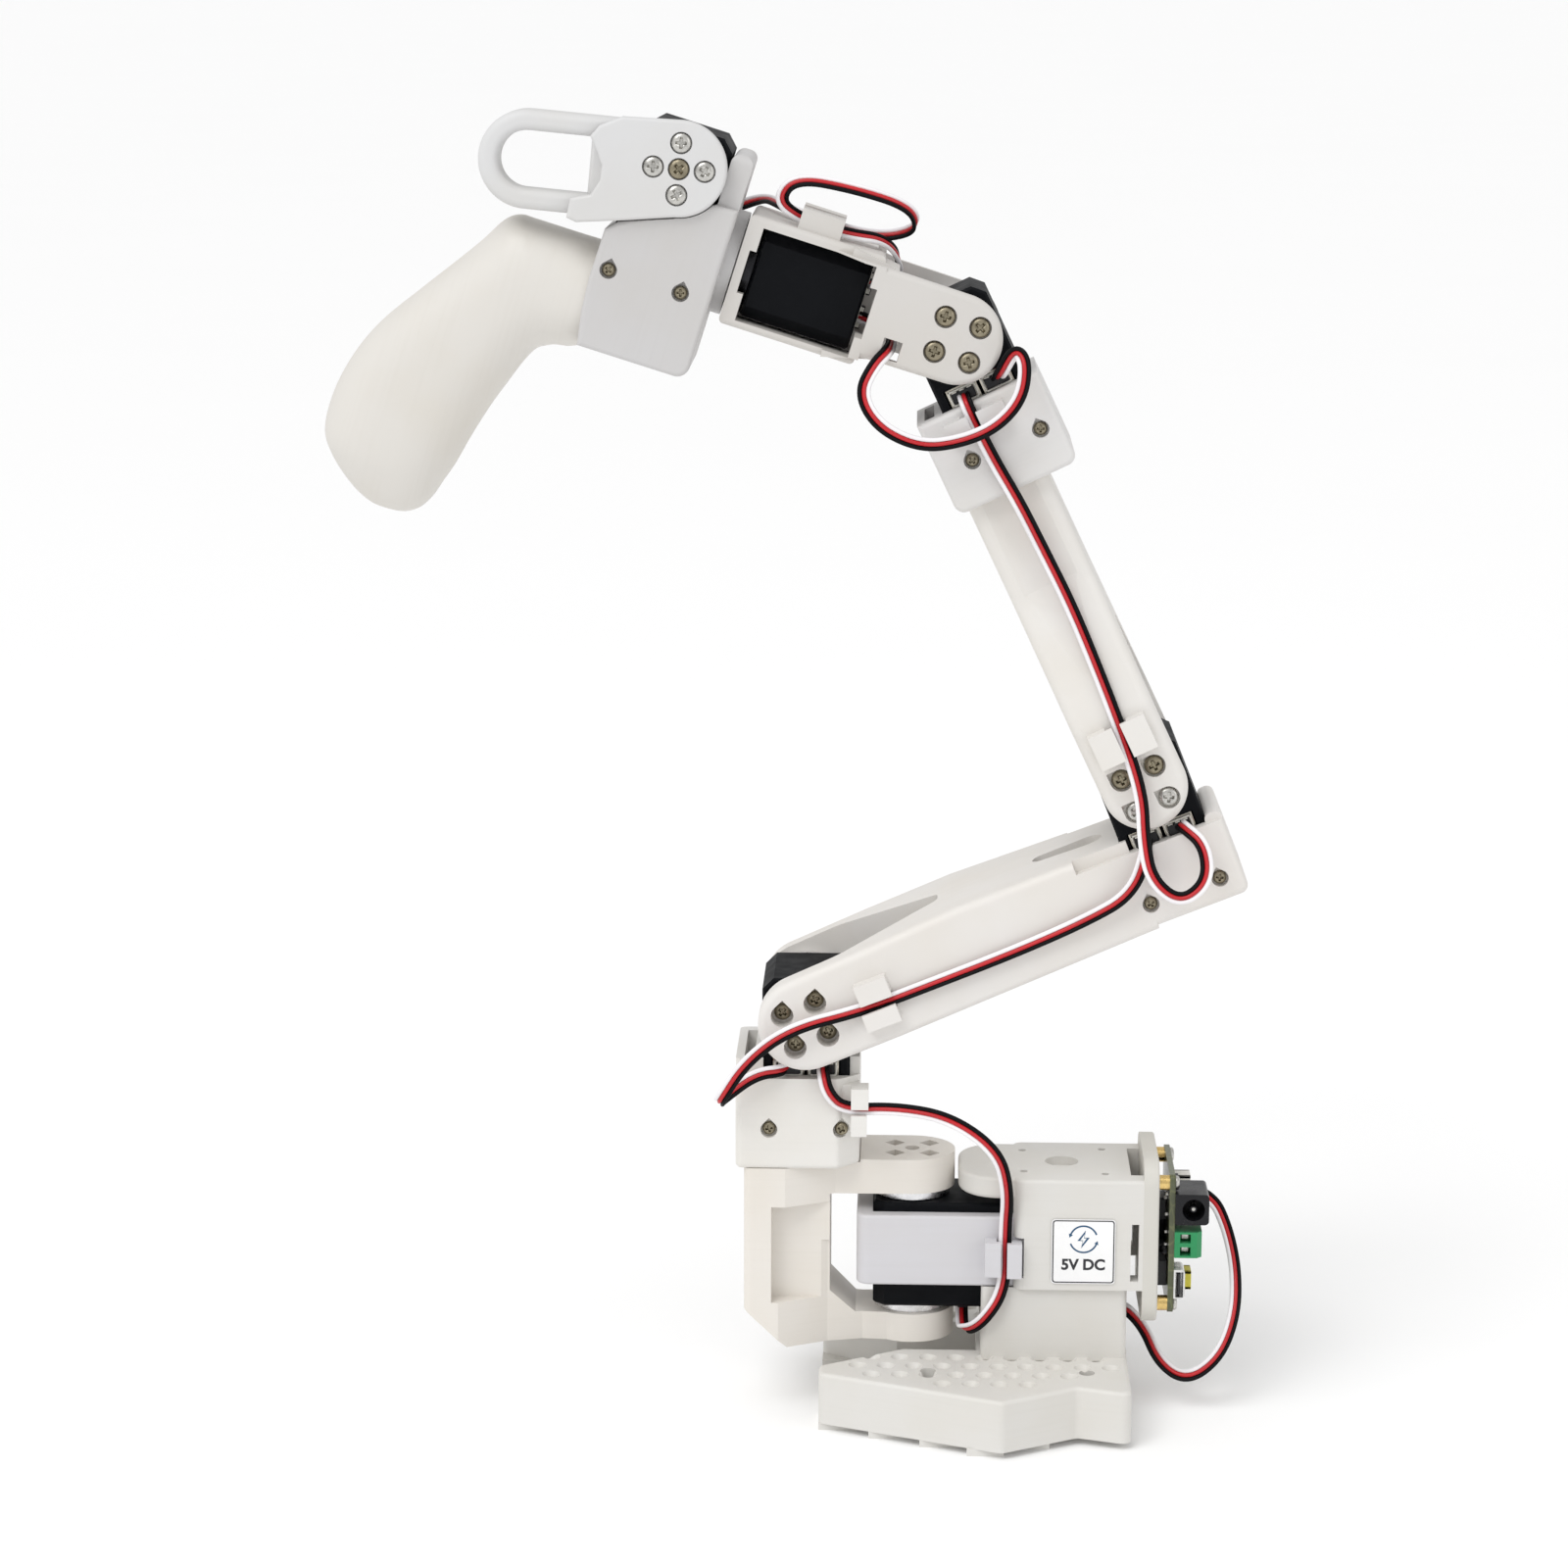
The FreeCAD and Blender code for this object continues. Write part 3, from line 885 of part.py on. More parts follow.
write("wrist_screws", *[placed(s, WRIST) for s in horn_screw_set(45, WRIST_FLOOR, WRIST_FLOOR)])
write("trigger_servo_housing", placed(trigger_servo_housing(), WRIST))
write_servo("trigger", TRIGGER_SERVO, turn=WRIST_ANGLE - TRIGGER_ANGLE)
write("grip", placed(grip().cut(trigger_servo_housing()), WRIST))
write("handle_screws", *[placed(s, WRIST) for s in roll_screws()],
      *[placed(s, *TRIGGER_SERVO) for s in mount_screw_set(MOUNT_SCREW_FLOOR)])
write("ring_trigger", placed(ring_trigger(), TRIGGER))
write("trigger_screws", *[placed(s, TRIGGER) for s in horn_screw_set(0, TRIGGER_FLOOR, 0, (-1,))],
      placed(screw(0, 0, -TRIGGER_FLOOR, -14.8), TRIGGER))
for name, route in (("board_pan_lead", BOARD_PAN), ("pan_lift_lead", PAN_LIFT),
                    ("lift_elbow_lead", LIFT_ELBOW), ("elbow_wrist_lead", ELBOW_WRIST),
                    ("wrist_roll_lead", WRIST_ROLL), ("roll_trigger_lead", ROLL_TRIGGER)):
    write(name, lead(name, route))
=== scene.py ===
import bpy
import bmesh
import json
import math
from mathutils import Matrix, Vector
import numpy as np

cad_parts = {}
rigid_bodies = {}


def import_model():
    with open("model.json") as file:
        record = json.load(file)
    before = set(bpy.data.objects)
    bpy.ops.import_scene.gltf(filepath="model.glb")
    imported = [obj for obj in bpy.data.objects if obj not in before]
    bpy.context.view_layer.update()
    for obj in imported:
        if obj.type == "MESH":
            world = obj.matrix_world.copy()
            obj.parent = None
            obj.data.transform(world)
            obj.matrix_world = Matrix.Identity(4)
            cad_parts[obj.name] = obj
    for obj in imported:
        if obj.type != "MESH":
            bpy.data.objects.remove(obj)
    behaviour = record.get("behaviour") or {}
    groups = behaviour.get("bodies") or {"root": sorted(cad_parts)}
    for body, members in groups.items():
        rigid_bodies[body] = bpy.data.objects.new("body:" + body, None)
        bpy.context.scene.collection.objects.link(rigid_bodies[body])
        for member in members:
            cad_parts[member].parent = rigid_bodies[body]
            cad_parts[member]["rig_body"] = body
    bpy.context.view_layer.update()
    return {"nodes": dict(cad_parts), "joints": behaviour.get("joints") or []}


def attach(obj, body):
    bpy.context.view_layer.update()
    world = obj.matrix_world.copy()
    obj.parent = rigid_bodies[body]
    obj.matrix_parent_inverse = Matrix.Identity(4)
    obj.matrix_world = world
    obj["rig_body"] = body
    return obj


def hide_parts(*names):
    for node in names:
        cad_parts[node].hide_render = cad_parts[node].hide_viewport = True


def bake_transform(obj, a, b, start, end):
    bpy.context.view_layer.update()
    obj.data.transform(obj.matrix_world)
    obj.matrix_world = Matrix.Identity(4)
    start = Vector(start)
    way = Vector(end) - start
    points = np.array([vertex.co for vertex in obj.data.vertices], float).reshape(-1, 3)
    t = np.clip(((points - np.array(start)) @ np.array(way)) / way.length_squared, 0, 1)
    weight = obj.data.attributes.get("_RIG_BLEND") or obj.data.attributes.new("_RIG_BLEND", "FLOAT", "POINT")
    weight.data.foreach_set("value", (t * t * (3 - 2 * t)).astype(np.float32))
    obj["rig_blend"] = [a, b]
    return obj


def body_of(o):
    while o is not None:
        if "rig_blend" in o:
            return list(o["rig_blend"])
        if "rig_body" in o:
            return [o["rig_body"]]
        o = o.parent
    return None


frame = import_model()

MM = 0.001
NODES = frame["nodes"]
JOINTS = {joint["name"]: joint for joint in frame["joints"]}

# ---- where the links are ----------------------------------------------------------------------------
UPPER_ANGLE = 22.0
FOREARM_ANGLE = 115.5
WRIST_ANGLE = 162.5
TRIGGER_ANGLE = 174.5
HORN_SCREW_RADIUS = 7.0
CASE_SCREW_X = 31.93
CASE_SCREW_Z = 10.25
ROLL_DROP = 0.8
PAN_MID = 45.6
MOUNT_SEAT = 17.6
PAN_SEAT = 20.5
UPPER_SEAT = 19.5
FOREARM_SEAT = 20.5
WRIST_SEAT = 20.7
TRIGGER_SEAT = 21.0
ROLL_SEAT = 64.4
BOARD_FACE = 74.8


def link_frame(joint, angle):
    """A link's own frame in millimetres: x along the angle in the XZ plane, y along Y, z across."""
    a = math.radians(angle)
    x, _, z = (v / MM for v in JOINTS[joint]["pos_m"])
    return Matrix(((math.cos(a), 0, -math.sin(a), x), (0, 1, 0, 0), (math.sin(a), 0, math.cos(a), z),
                   (0, 0, 0, 1)))


def basis(origin, x_dir, y_dir):
    x, y = Vector(x_dir), Vector(y_dir)
    z = x.cross(y)
    return Matrix(((x.x, y.x, z.x, origin[0]), (x.y, y.y, z.y, origin[1]), (x.z, y.z, z.z, origin[2]),
                   (0, 0, 0, 1)))


UPPER = link_frame("shoulder_lift", UPPER_ANGLE)
FOREARM = link_frame("elbow_flex", FOREARM_ANGLE)
WRIST = link_frame("wrist_flex", WRIST_ANGLE)
TRIGGER = link_frame("trigger", TRIGGER_ANGLE)

# Servo frames: x from the output axis along the case, -y the side with the lead sockets.
SERVOS = {
    "pan": basis((0, 0, PAN_MID), (1, 0, 0), (0, 0, 1)),
    "lift": link_frame("shoulder_lift", -90),
    "elbow": link_frame("elbow_flex", UPPER_ANGLE - 90),
    "wrist": link_frame("wrist_flex", FOREARM_ANGLE + 180),
    "roll": WRIST @ basis((43.0, 0, ROLL_DROP), (0, 1, 0), (1, 0, 0)),
    "trigger": link_frame("trigger", WRIST_ANGLE) @ basis((0, 0, 0), (0, 0, 1), (0, -1, 0)),
}
SERVO_BODY = {"pan": "base", "lift": "shoulder", "elbow": "upper_arm", "wrist": "forearm",
              "roll": "wrist", "trigger": "handle"}


# ---- camera -----------------------------------------------------------------------------------------
def add_camera():
    """Stands 1.15 m in front and 0.42 m up, and looks down a little at the arm."""
    yaw, pitch, roll = (math.radians(v) for v in (1.791, 11.893, 0.152))
    forward = Vector((-math.sin(yaw) * math.cos(pitch), math.cos(yaw) * math.cos(pitch),
                      -math.sin(pitch)))
    right = Vector((math.cos(yaw), math.sin(yaw), 0))
    up = right.cross(forward)
    right, up = (right * math.cos(roll) + up * math.sin(roll),
                 up * math.cos(roll) - right * math.sin(roll))
    camera = bpy.data.cameras.new("camera")
    camera.lens = 95.38
    camera.sensor_width = 36.0
    camera.clip_end = 60.0
    holder = bpy.data.objects.new("camera", camera)
    rotation = Matrix((right, up, -forward)).transposed()
    holder.matrix_world = Matrix.Translation((-0.0013, -1.15, 0.4228)) @ rotation.to_4x4()
    bpy.context.collection.objects.link(holder)
    bpy.context.scene.camera = holder


# ---- leads ------------------------------------------------------------------------------------------
# The routes of part.py, in millimetres.
ROUTES = {
    "board_pan_lead": [
        (80.4, 9.5, 59.4), (87.0, 9.3, 58.0), (91.5, 6.0, 49.0), (93.8, -1.5, 38.5),
        (93.2, -8.5, 27.0), (88.5, -13.0, 16.0), (79.5, -13.0, 9.0), (71.8, -6.5, 12.0),
        (67.5, 2.5, 20.5), (60.0, 6.0, 26.3), (46.0, 6.2, 26.6), (29.0, 5.8, 26.6), (16.5, 5.3, 25.5),
        (14.8, 5.0, 30.3)],
    "pan_lift_lead": [
        (14.6, -5.1, 30.3), (14.6, -6.5, 25.6), (15.0, -15.5, 23.8), (20.5, -21.0, 28.5),
        (26.8, -18.7, 38.0), (26.5, -18.4, 55.0), (27.2, -23.0, 68.5), (24.0, -25.0, 80.5),
        (11.0, -24.8, 90.0), (-4.0, -22.0, 92.0), (-19.2, -20.6, 91.0), (-24.0, -24.0, 96.5),
        (-25.5, -22.0, 102.6), (-25.5, -14.8, 102.0)],
    "lift_elbow_lead": [
        (-35.3, -14.8, 102.0), (-36.0, -21.6, 102.5), (-44.5, -23.5, 102.0), (-54.0, -24.5, 94.6),
        (-54.5, -32.0, 95.8), (-47.0, -32.5, 108.0), (-34.5, -31.0, 117.4), (-14.2, -27.3, 121.9),
        (5.2, -26.6, 129.6), (27.5, -25.0, 138.4), (47.5, -24.0, 147.4), (60.5, -24.8, 155.4),
        (64.6, -23.0, 168.6), (64.3, -14.8, 169.5)],
    "elbow_wrist_lead": [
        (73.5, -14.8, 173.3), (73.9, -22.0, 174.4), (80.0, -28.0, 170.3), (80.9, -31.0, 160.5),
        (73.3, -31.5, 154.3), (65.2, -30.0, 160.5), (63.0, -28.5, 171.5), (62.4, -27.5, 184.1),
        (56.4, -24.5, 201.3), (49.0, -22.0, 219.6), (41.8, -18.9, 236.1), (34.0, -18.4, 251.2),
        (27.2, -22.6, 264.7), (20.2, -22.3, 276.1), (14.1, -22.4, 288.2), (12.1, -21.4, 292.9),
        (11.9, -14.8, 293.3)],
    "wrist_roll_lead": [
        (20.9, -14.8, 297.6), (21.5, -21.5, 298.3), (25.6, -26.0, 306.8), (28.6, -31.2, 303.8),
        (27.6, -31.2, 294.0), (21.0, -30.4, 286.2), (11.5, -29.5, 281.9), (0.5, -29.5, 280.4),
        (-10.9, -29.5, 285.6), (-16.2, -29.0, 294.6), (-12.2, -27.0, 302.4), (-8.2, -21.5, 305.8),
        (-7.8, -7.0, 306.3), (-7.8, 8.0, 306.9), (-11.2, 13.6, 309.1), (-17.3, 13.6, 311.4)],
    "roll_trigger_lead": [
        (-14.3, 13.6, 320.8), (-8.9, 13.4, 320.1), (-5.0, 8.5, 326.5), (-9.1, 0.0, 333.9),
        (-20.1, -5.5, 335.7), (-32.5, -6.0, 339.6), (-39.4, -7.5, 345.0), (-34.2, -8.5, 351.4),
        (-18.2, -7.5, 348.4), (-3.0, -4.0, 343.4), (-0.4, 1.0, 337.0), (-10.1, 4.2, 334.1),
        (-23.0, 4.4, 336.6), (-35.2, 5.4, 341.0), (-39.8, 13.5, 342.8), (-44.0, 22.5, 343.8),
        (-53.5, 25.0, 340.4), (-63.0, 23.5, 339.4), (-64.7, 15.2, 339.7)],
}

WIRE_RADIUS = 0.62
WIRE_STEP = 1.22
# the body at each end, and the stretch over which a lead bends from one to the other
LEAD_BENDS = {
    "pan_lift_lead": ("base", "shoulder", (26, -20, 60), (-12, -20, 90)),
    "lift_elbow_lead": ("shoulder", "upper_arm", (0, 0, 104), (0, 0, 120)),
    "elbow_wrist_lead": ("upper_arm", "forearm", (0, 0, 176), (0, 0, 194)),
    "wrist_roll_lead": ("forearm", "wrist", (8, -30, 281), (-12, -29, 297)),
    "roll_trigger_lead": ("wrist", "handle", (-47, 0, 327), (-59, 0, 331)),
}
# which way each ribbon of wires faces
LEAD_FACING = {
    "board_pan_lead": (-0.35, 0.85, -0.3),
    "pan_lift_lead": (0, 1, 0),
    "lift_elbow_lead": (0, 1, 0),
    "wrist_roll_lead": (0, 1, 0),
    "roll_trigger_lead": (-0.15, 0.75, -0.6),
}


def smooth_line(points):
    """The NURBS curve with these control points, as closely spaced points in metres."""
    curve = bpy.data.curves.new("route", "CURVE")
    curve.dimensions = "3D"
    spline = curve.splines.new("NURBS")
    spline.points.add(len(points) - 1)
    for place, point in zip(spline.points, points):
        place.co = (point[0] * MM, point[1] * MM, point[2] * MM, 1)
    spline.order_u = 3
    spline.use_endpoint_u = True
    spline.resolution_u = 10
    holder = bpy.data.objects.new("route", curve)
    line = bpy.data.meshes.new_from_object(holder)
    found = [vertex.co.copy() for vertex in line.vertices]
    bpy.data.objects.remove(holder)
    bpy.data.curves.remove(curve)
    bpy.data.meshes.remove(line)
    return found


def ribbon_sides(line, facing):
    """A sideways direction at each point, so that the wires lie side by side across the facing."""
    ways = [(b - a).normalized() for a, b in zip(line[:-1], line[1:])]
    ways.append(ways[-1])
    sides = []
    for way in ways:
        side = way.cross(facing)
        weight = side.length
        if weight > 0.35:
            side.normalize()
        elif sides:
            side = (sides[-1] - way * sides[-1].dot(way)).normalized()
        else:
            side = way.orthogonal().normalized()
        if sides and side.dot(sides[-1]) < 0:
            side.negate()
        sides.append(side)
    for _ in range(12):
        soft = [(a + b * 2 + c).normalized() for a, b, c in zip(sides, sides[1:], sides[2:])]
        sides[1:-1] = soft
    return ways, [(side - way * side.dot(way)).normalized() for way, side in zip(ways, sides)]


def wire_tubes(bm, line, ways, sides, offset, radius, slot, turns=10):
    rings = []
    for place, way, side in zip(line, ways, sides):
        centre = place + side * offset
        other = way.cross(side)
        rings.append([bm.verts.new(centre + (side * math.cos(a) + other * math.sin(a)) * radius)
                      for a in (2 * math.pi * k / turns for k in range(turns))])
    for low, high in zip(rings, rings[1:]):
        for k in range(turns):
            face = bm.faces.new((low[k], low[(k + 1) % turns], high[(k + 1) % turns], high[k]))
            face.material_index = slot
            face.smooth = True
    for ring in (rings[0][::-1], rings[-1]):
        bm.faces.new(ring).material_index = slot


def add_piece(name, bm, materials):
    mesh = bpy.data.meshes.new(name)
    bmesh.ops.recalc_face_normals(bm, faces=bm.faces)
    bm.to_mesh(mesh)
    bm.free()
    for material in materials:
        mesh.materials.append(material)
    piece = bpy.data.objects.new(name, mesh)
    bpy.context.collection.objects.link(piece)
    return piece


def add_piece_in_mm(name, bm, materials):
    bmesh.ops.scale(bm, vec=(MM, MM, MM), verts=bm.verts)
    return add_piece(name, bm, materials)


def add_leads(wire_materials):
    for node, route in ROUTES.items():
        line = smooth_line(route)
        facing = Vector(LEAD_FACING.get(node, (0, -1, 0))).normalized()
        ways, sides = ribbon_sides(line, facing)
        bm = bmesh.new()
        for slot, offset in enumerate((-WIRE_STEP, 0, WIRE_STEP)):
            wire_tubes(bm, line, ways, sides, offset * MM, WIRE_RADIUS * MM, slot)
        piece = add_piece(f"{node}_wires", bm, wire_materials)
        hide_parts(node)
        if node in LEAD_BENDS:
            first, second, start, end = LEAD_BENDS[node]
            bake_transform(piece, first, second, Vector(start) * MM, Vector(end) * MM)
        else:
            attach(piece, "base")


# ---- materials --------------------------------------------------------------------------------------
class Look:
    """One procedural material: constants on the shader, and detail from the piece's own coordinates."""

    def __init__(self, name, colour, roughness, metallic=0.0, specular=0.5, coat=0.0, space=None):
        self.material = bpy.data.materials.new(name)
        self.material.use_nodes = True
        self.tree = self.material.node_tree
        self.shader = self.tree.nodes["Principled BSDF"]
        self.shader.inputs["Base Color"].default_value = (*colour, 1)
        self.shader.inputs["Roughness"].default_value = roughness
        self.shader.inputs["Metallic"].default_value = metallic
        self.shader.inputs["Specular IOR Level"].default_value = specular
        self.shader.inputs["Coat Weight"].default_value = coat
        self.colour = colour
        self.roughness = roughness
        self.normal = None
        self.place = self.node("ShaderNodeTexCoord").outputs["Object"]
        if space is not None:
            self.place = self.mapped(space.inverted())

    def node(self, kind, **values):
        made = self.tree.nodes.new(kind)
        for key, value in values.items():
            if key in made.inputs:
                made.inputs[key].default_value = value
            else:
                setattr(made, key, value)
        return made

    def link(self, a, b):
        self.tree.links.new(a, b)

    def mapped(self, matrix=None, stretch=(1, 1, 1)):
        """Coordinates in a frame given in millimetres, kept in metres."""
        mapping = self.node("ShaderNodeMapping")
        if matrix is not None:
            mapping.inputs["Location"].default_value = matrix.to_translation() * MM
            mapping.inputs["Rotation"].default_value = matrix.to_euler()
        mapping.inputs["Scale"].default_value = stretch
        self.link(self.place, mapping.inputs["Vector"])
        return mapping.outputs["Vector"]

    def noise(self, scale, detail=3.0, stretch=(1, 1, 1), rough=0.5):
        texture = self.node("ShaderNodeTexNoise", Scale=scale, Detail=detail, Roughness=rough)
        self.link(self.mapped(stretch=stretch), texture.inputs["Vector"])
        return texture.outputs["Fac"]

    def ramp(self, value, low, high, out_low=0.0, out_high=1.0):
        fit = self.node("ShaderNodeMapRange")
        for socket, number in zip(fit.inputs[1:5], (low, high, out_low, out_high)):
            socket.default_value = number
        self.link(value, fit.inputs["Value"])
        return fit.outputs["Result"]

    def tint(self, factor, colour):
        """Mixes another colour in where the factor is high."""
        mix = self.node("ShaderNodeMix", data_type="RGBA")
        socket = self.shader.inputs["Base Color"]
        if socket.is_linked:
            self.link(socket.links[0].from_socket, mix.inputs[6])
        mix.inputs[6].default_value = (*self.colour, 1)
        mix.inputs[7].default_value = (*colour, 1)
        self.link(factor, mix.inputs[0])
        self.link(mix.outputs[2], socket)
        return self

    def sheen_spread(self, factor, low, high):
        """Roughness that varies between two values."""
        self.link(self.ramp(factor, 0.3, 0.7, low, high), self.shader.inputs["Roughness"])
        return self

    def relief(self, height, distance, strength=1.0):
        bump = self.node("ShaderNodeBump", Strength=strength, Distance=distance)
        self.link(height, bump.inputs["Height"])
        if self.normal is not None:
            self.link(self.normal, bump.inputs["Normal"])
        self.normal = bump.outputs["Normal"]
        self.link(self.normal, self.shader.inputs["Normal"])
        return self

    def turned(self, scale, distance):
        """Fine rings round the y axis of its space, as left by a lathe."""
        wave = self.node("ShaderNodeTexWave", wave_type="RINGS", rings_direction="Y", Scale=scale,
                         Distortion=1.5)
        wave.inputs["Detail Scale"].default_value = 4.0
        self.link(self.place, wave.inputs["Vector"])
        return self.relief(wave.outputs["Fac"], distance)


def printed(name, colour, space=None, axis=2):
    """Fused filament: faint layers across one axis, soft mottling and a satin surface."""
    look = Look(name, colour, 0.5, specular=0.42, space=space)
    shade = tuple(c * k for c, k in zip(colour, (0.965, 0.95, 0.92)))
    flat = [0.03, 0.03, 0.03]
    flat[axis] = 1.0
    look.tint(look.ramp(look.noise(34.0, 4.0), 0.42, 0.72, 0.0, 0.8), shade)
    look.tint(look.ramp(look.noise(900.0, 1.0, flat), 0.5, 0.8, 0.0, 0.12),
              tuple(c * 0.9 for c in shade))
    look.sheen_spread(look.noise(120.0, 2.0), 0.44, 0.6)
    look.relief(look.noise(2200.0, 1.0, flat), 0.00002, 0.5)
    look.relief(look.noise(1300.0, 4.0), 0.00001, 0.5)
    return look.material


def moulded(name, colour, roughness, grain=2600.0, depth=0.00003, specular=0.45):
    look = Look(name, colour, roughness, specular=specular)
    look.tint(look.ramp(look.noise(60.0, 3.0), 0.45, 0.8, 0.0, 0.5),
              tuple(min(1.0, c * 1.3 + 0.001) for c in colour))
    look.sheen_spread(look.noise(190.0, 3.0), max(0.05, roughness - 0.07), roughness + 0.09)
    look.relief(look.noise(grain, 2.0), depth, 0.8)
    return look.material


def metal(name, colour, roughness, space=None, dark=0.6):
    look = Look(name, colour, roughness, metallic=1.0, space=space)
    look.tint(look.ramp(look.noise(420.0, 3.0), 0.5, 0.75, 0.0, 0.7), tuple(c * dark for c in colour))
    look.sheen_spread(look.noise(900.0, 2.0), roughness - 0.06, roughness + 0.14)
    if space is None:
        look.relief(look.noise(3000.0, 2.0), 0.00001, 0.6)
    else:
        look.turned(420.0, 0.00001)
    return look.material


def circuit_board():
    """Olive solder mask over tracks, with a scatter of tinned pads."""
    look = Look("solder_mask", (0.075, 0.085, 0.038), 0.3, specular=0.5, coat=0.25)
    tracks = look.node("ShaderNodeTexVoronoi", Scale=520.0, feature="DISTANCE_TO_EDGE")
    look.link(look.mapped(stretch=(1, 1, 0.45)), tracks.inputs["Vector"])
    look.tint(look.ramp(tracks.outputs["Distance"], 0.03, 0.1, 1.0, 0.0), (0.12, 0.13, 0.055))
    pads = look.node("ShaderNodeTexVoronoi", Scale=260.0, Randomness=0.35)
    look.link(look.place, pads.inputs["Vector"])
    look.tint(look.ramp(pads.outputs["Distance"], 0.12, 0.16, 1.0, 0.0), (0.5, 0.5, 0.47))
    look.relief(tracks.outputs["Distance"], 0.00004, 0.5)
    return look.material


def make_materials():
    made = {
        "servo_black": moulded("servo_black", (0.003, 0.0036, 0.005), 0.52, specular=0.1),
        "servo_works": metal("servo_works", (0.62, 0.58, 0.5), 0.3),
        "circuit_board": circuit_board(),
        "black_connector": moulded("black_connector", (0.006, 0.006, 0.008), 0.3, 1800.0, specular=0.3),
        "green_terminal": moulded("green_terminal", (0.015, 0.25, 0.085), 0.34, 1900.0),
        "socket_steel": metal("socket_steel", (0.72, 0.72, 0.71), 0.24),
        "white_connector": moulded("white_connector", (0.78, 0.76, 0.70), 0.42, 1700.0),
        "brass": metal("brass", (0.78, 0.56, 0.22), 0.22, dark=0.75),
        "yellow_header": moulded("yellow_header", (0.70, 0.62, 0.06), 0.38, 1700.0),
        "chip": moulded("chip", (0.02, 0.02, 0.022), 0.42, 3000.0),
        "nickel": metal("nickel", (0.57, 0.56, 0.53), 0.27, dark=0.55),
        "bronze": metal("bronze", (0.30, 0.265, 0.19), 0.34, dark=0.55),
        "label": moulded("label", (0.88, 0.88, 0.88), 0.32, 4000.0, 0.000006),
        "ink_black": moulded("ink_black", (0.02, 0.02, 0.025), 0.35, 4000.0, 0.000006),
        "ink_blue": moulded("ink_blue", (0.015, 0.075, 0.16), 0.35, 4000.0, 0.000006),
        "wire_white": moulded("wire_white", (0.84, 0.82, 0.84), 0.35, 900.0, 0.00002),
        "wire_red": moulded("wire_red", (0.50, 0.012, 0.018), 0.33, 900.0, 0.00002),
        "wire_black": moulded("wire_black", (0.004, 0.004, 0.005), 0.5, 900.0, 0.00002, 0.12),
    }
    return made


# ---- carried CAD nodes --------------------------------------------------------------------------------
# printed node: its colour, the frame its layers lie in and the axis they cross
PRINTED = {
    "base_frame": ((0.685, 0.672, 0.642), None, 2), "pan_servo_holder": ((0.627, 0.62, 0.645), None, 2),
    "board_plate": ((0.62, 0.605, 0.56), None, 0), "pan_bracket": ((0.765, 0.73, 0.68), None, 2),
    "lift_servo_holder": ((0.765, 0.75, 0.72), None, 2), "upper_arm": ((0.74, 0.717, 0.69), UPPER, 1),
    "forearm_beam": ((0.74, 0.72, 0.69), FOREARM, 1),
    "wrist_servo_holder": ((0.68, 0.67, 0.66), FOREARM, 0),
    "wrist_bracket": ((0.605, 0.585, 0.56), WRIST, 1),
    "trigger_servo_housing": ((0.555, 0.547, 0.547), WRIST, 0), "grip": ((0.673, 0.65, 0.61), WRIST, 0),
    "ring_trigger": ((0.641, 0.641, 0.643), TRIGGER, 1),
}
CARRIED = {
    "board_standoffs": "brass", "control_board": "circuit_board", "power_jack": "black_connector",
    "screw_terminal": "green_terminal", "usb_socket": "socket_steel",
}
SOFT_EDGE = 0.0004
BARE_HORN = (0.80, 0.80, 0.81)
# painted shade: the roll horn is the same bare metal as the others, and this near-black stands for the
# shadow in its notch
ROLL_HORN_PAINTED_SHADE = (0.03, 0.03, 0.033)


def repaint(node, material):
    slots = NODES[node].data.materials
    for k in range(len(slots)):
        slots[k] = material
    if not len(slots):
        slots.append(material)


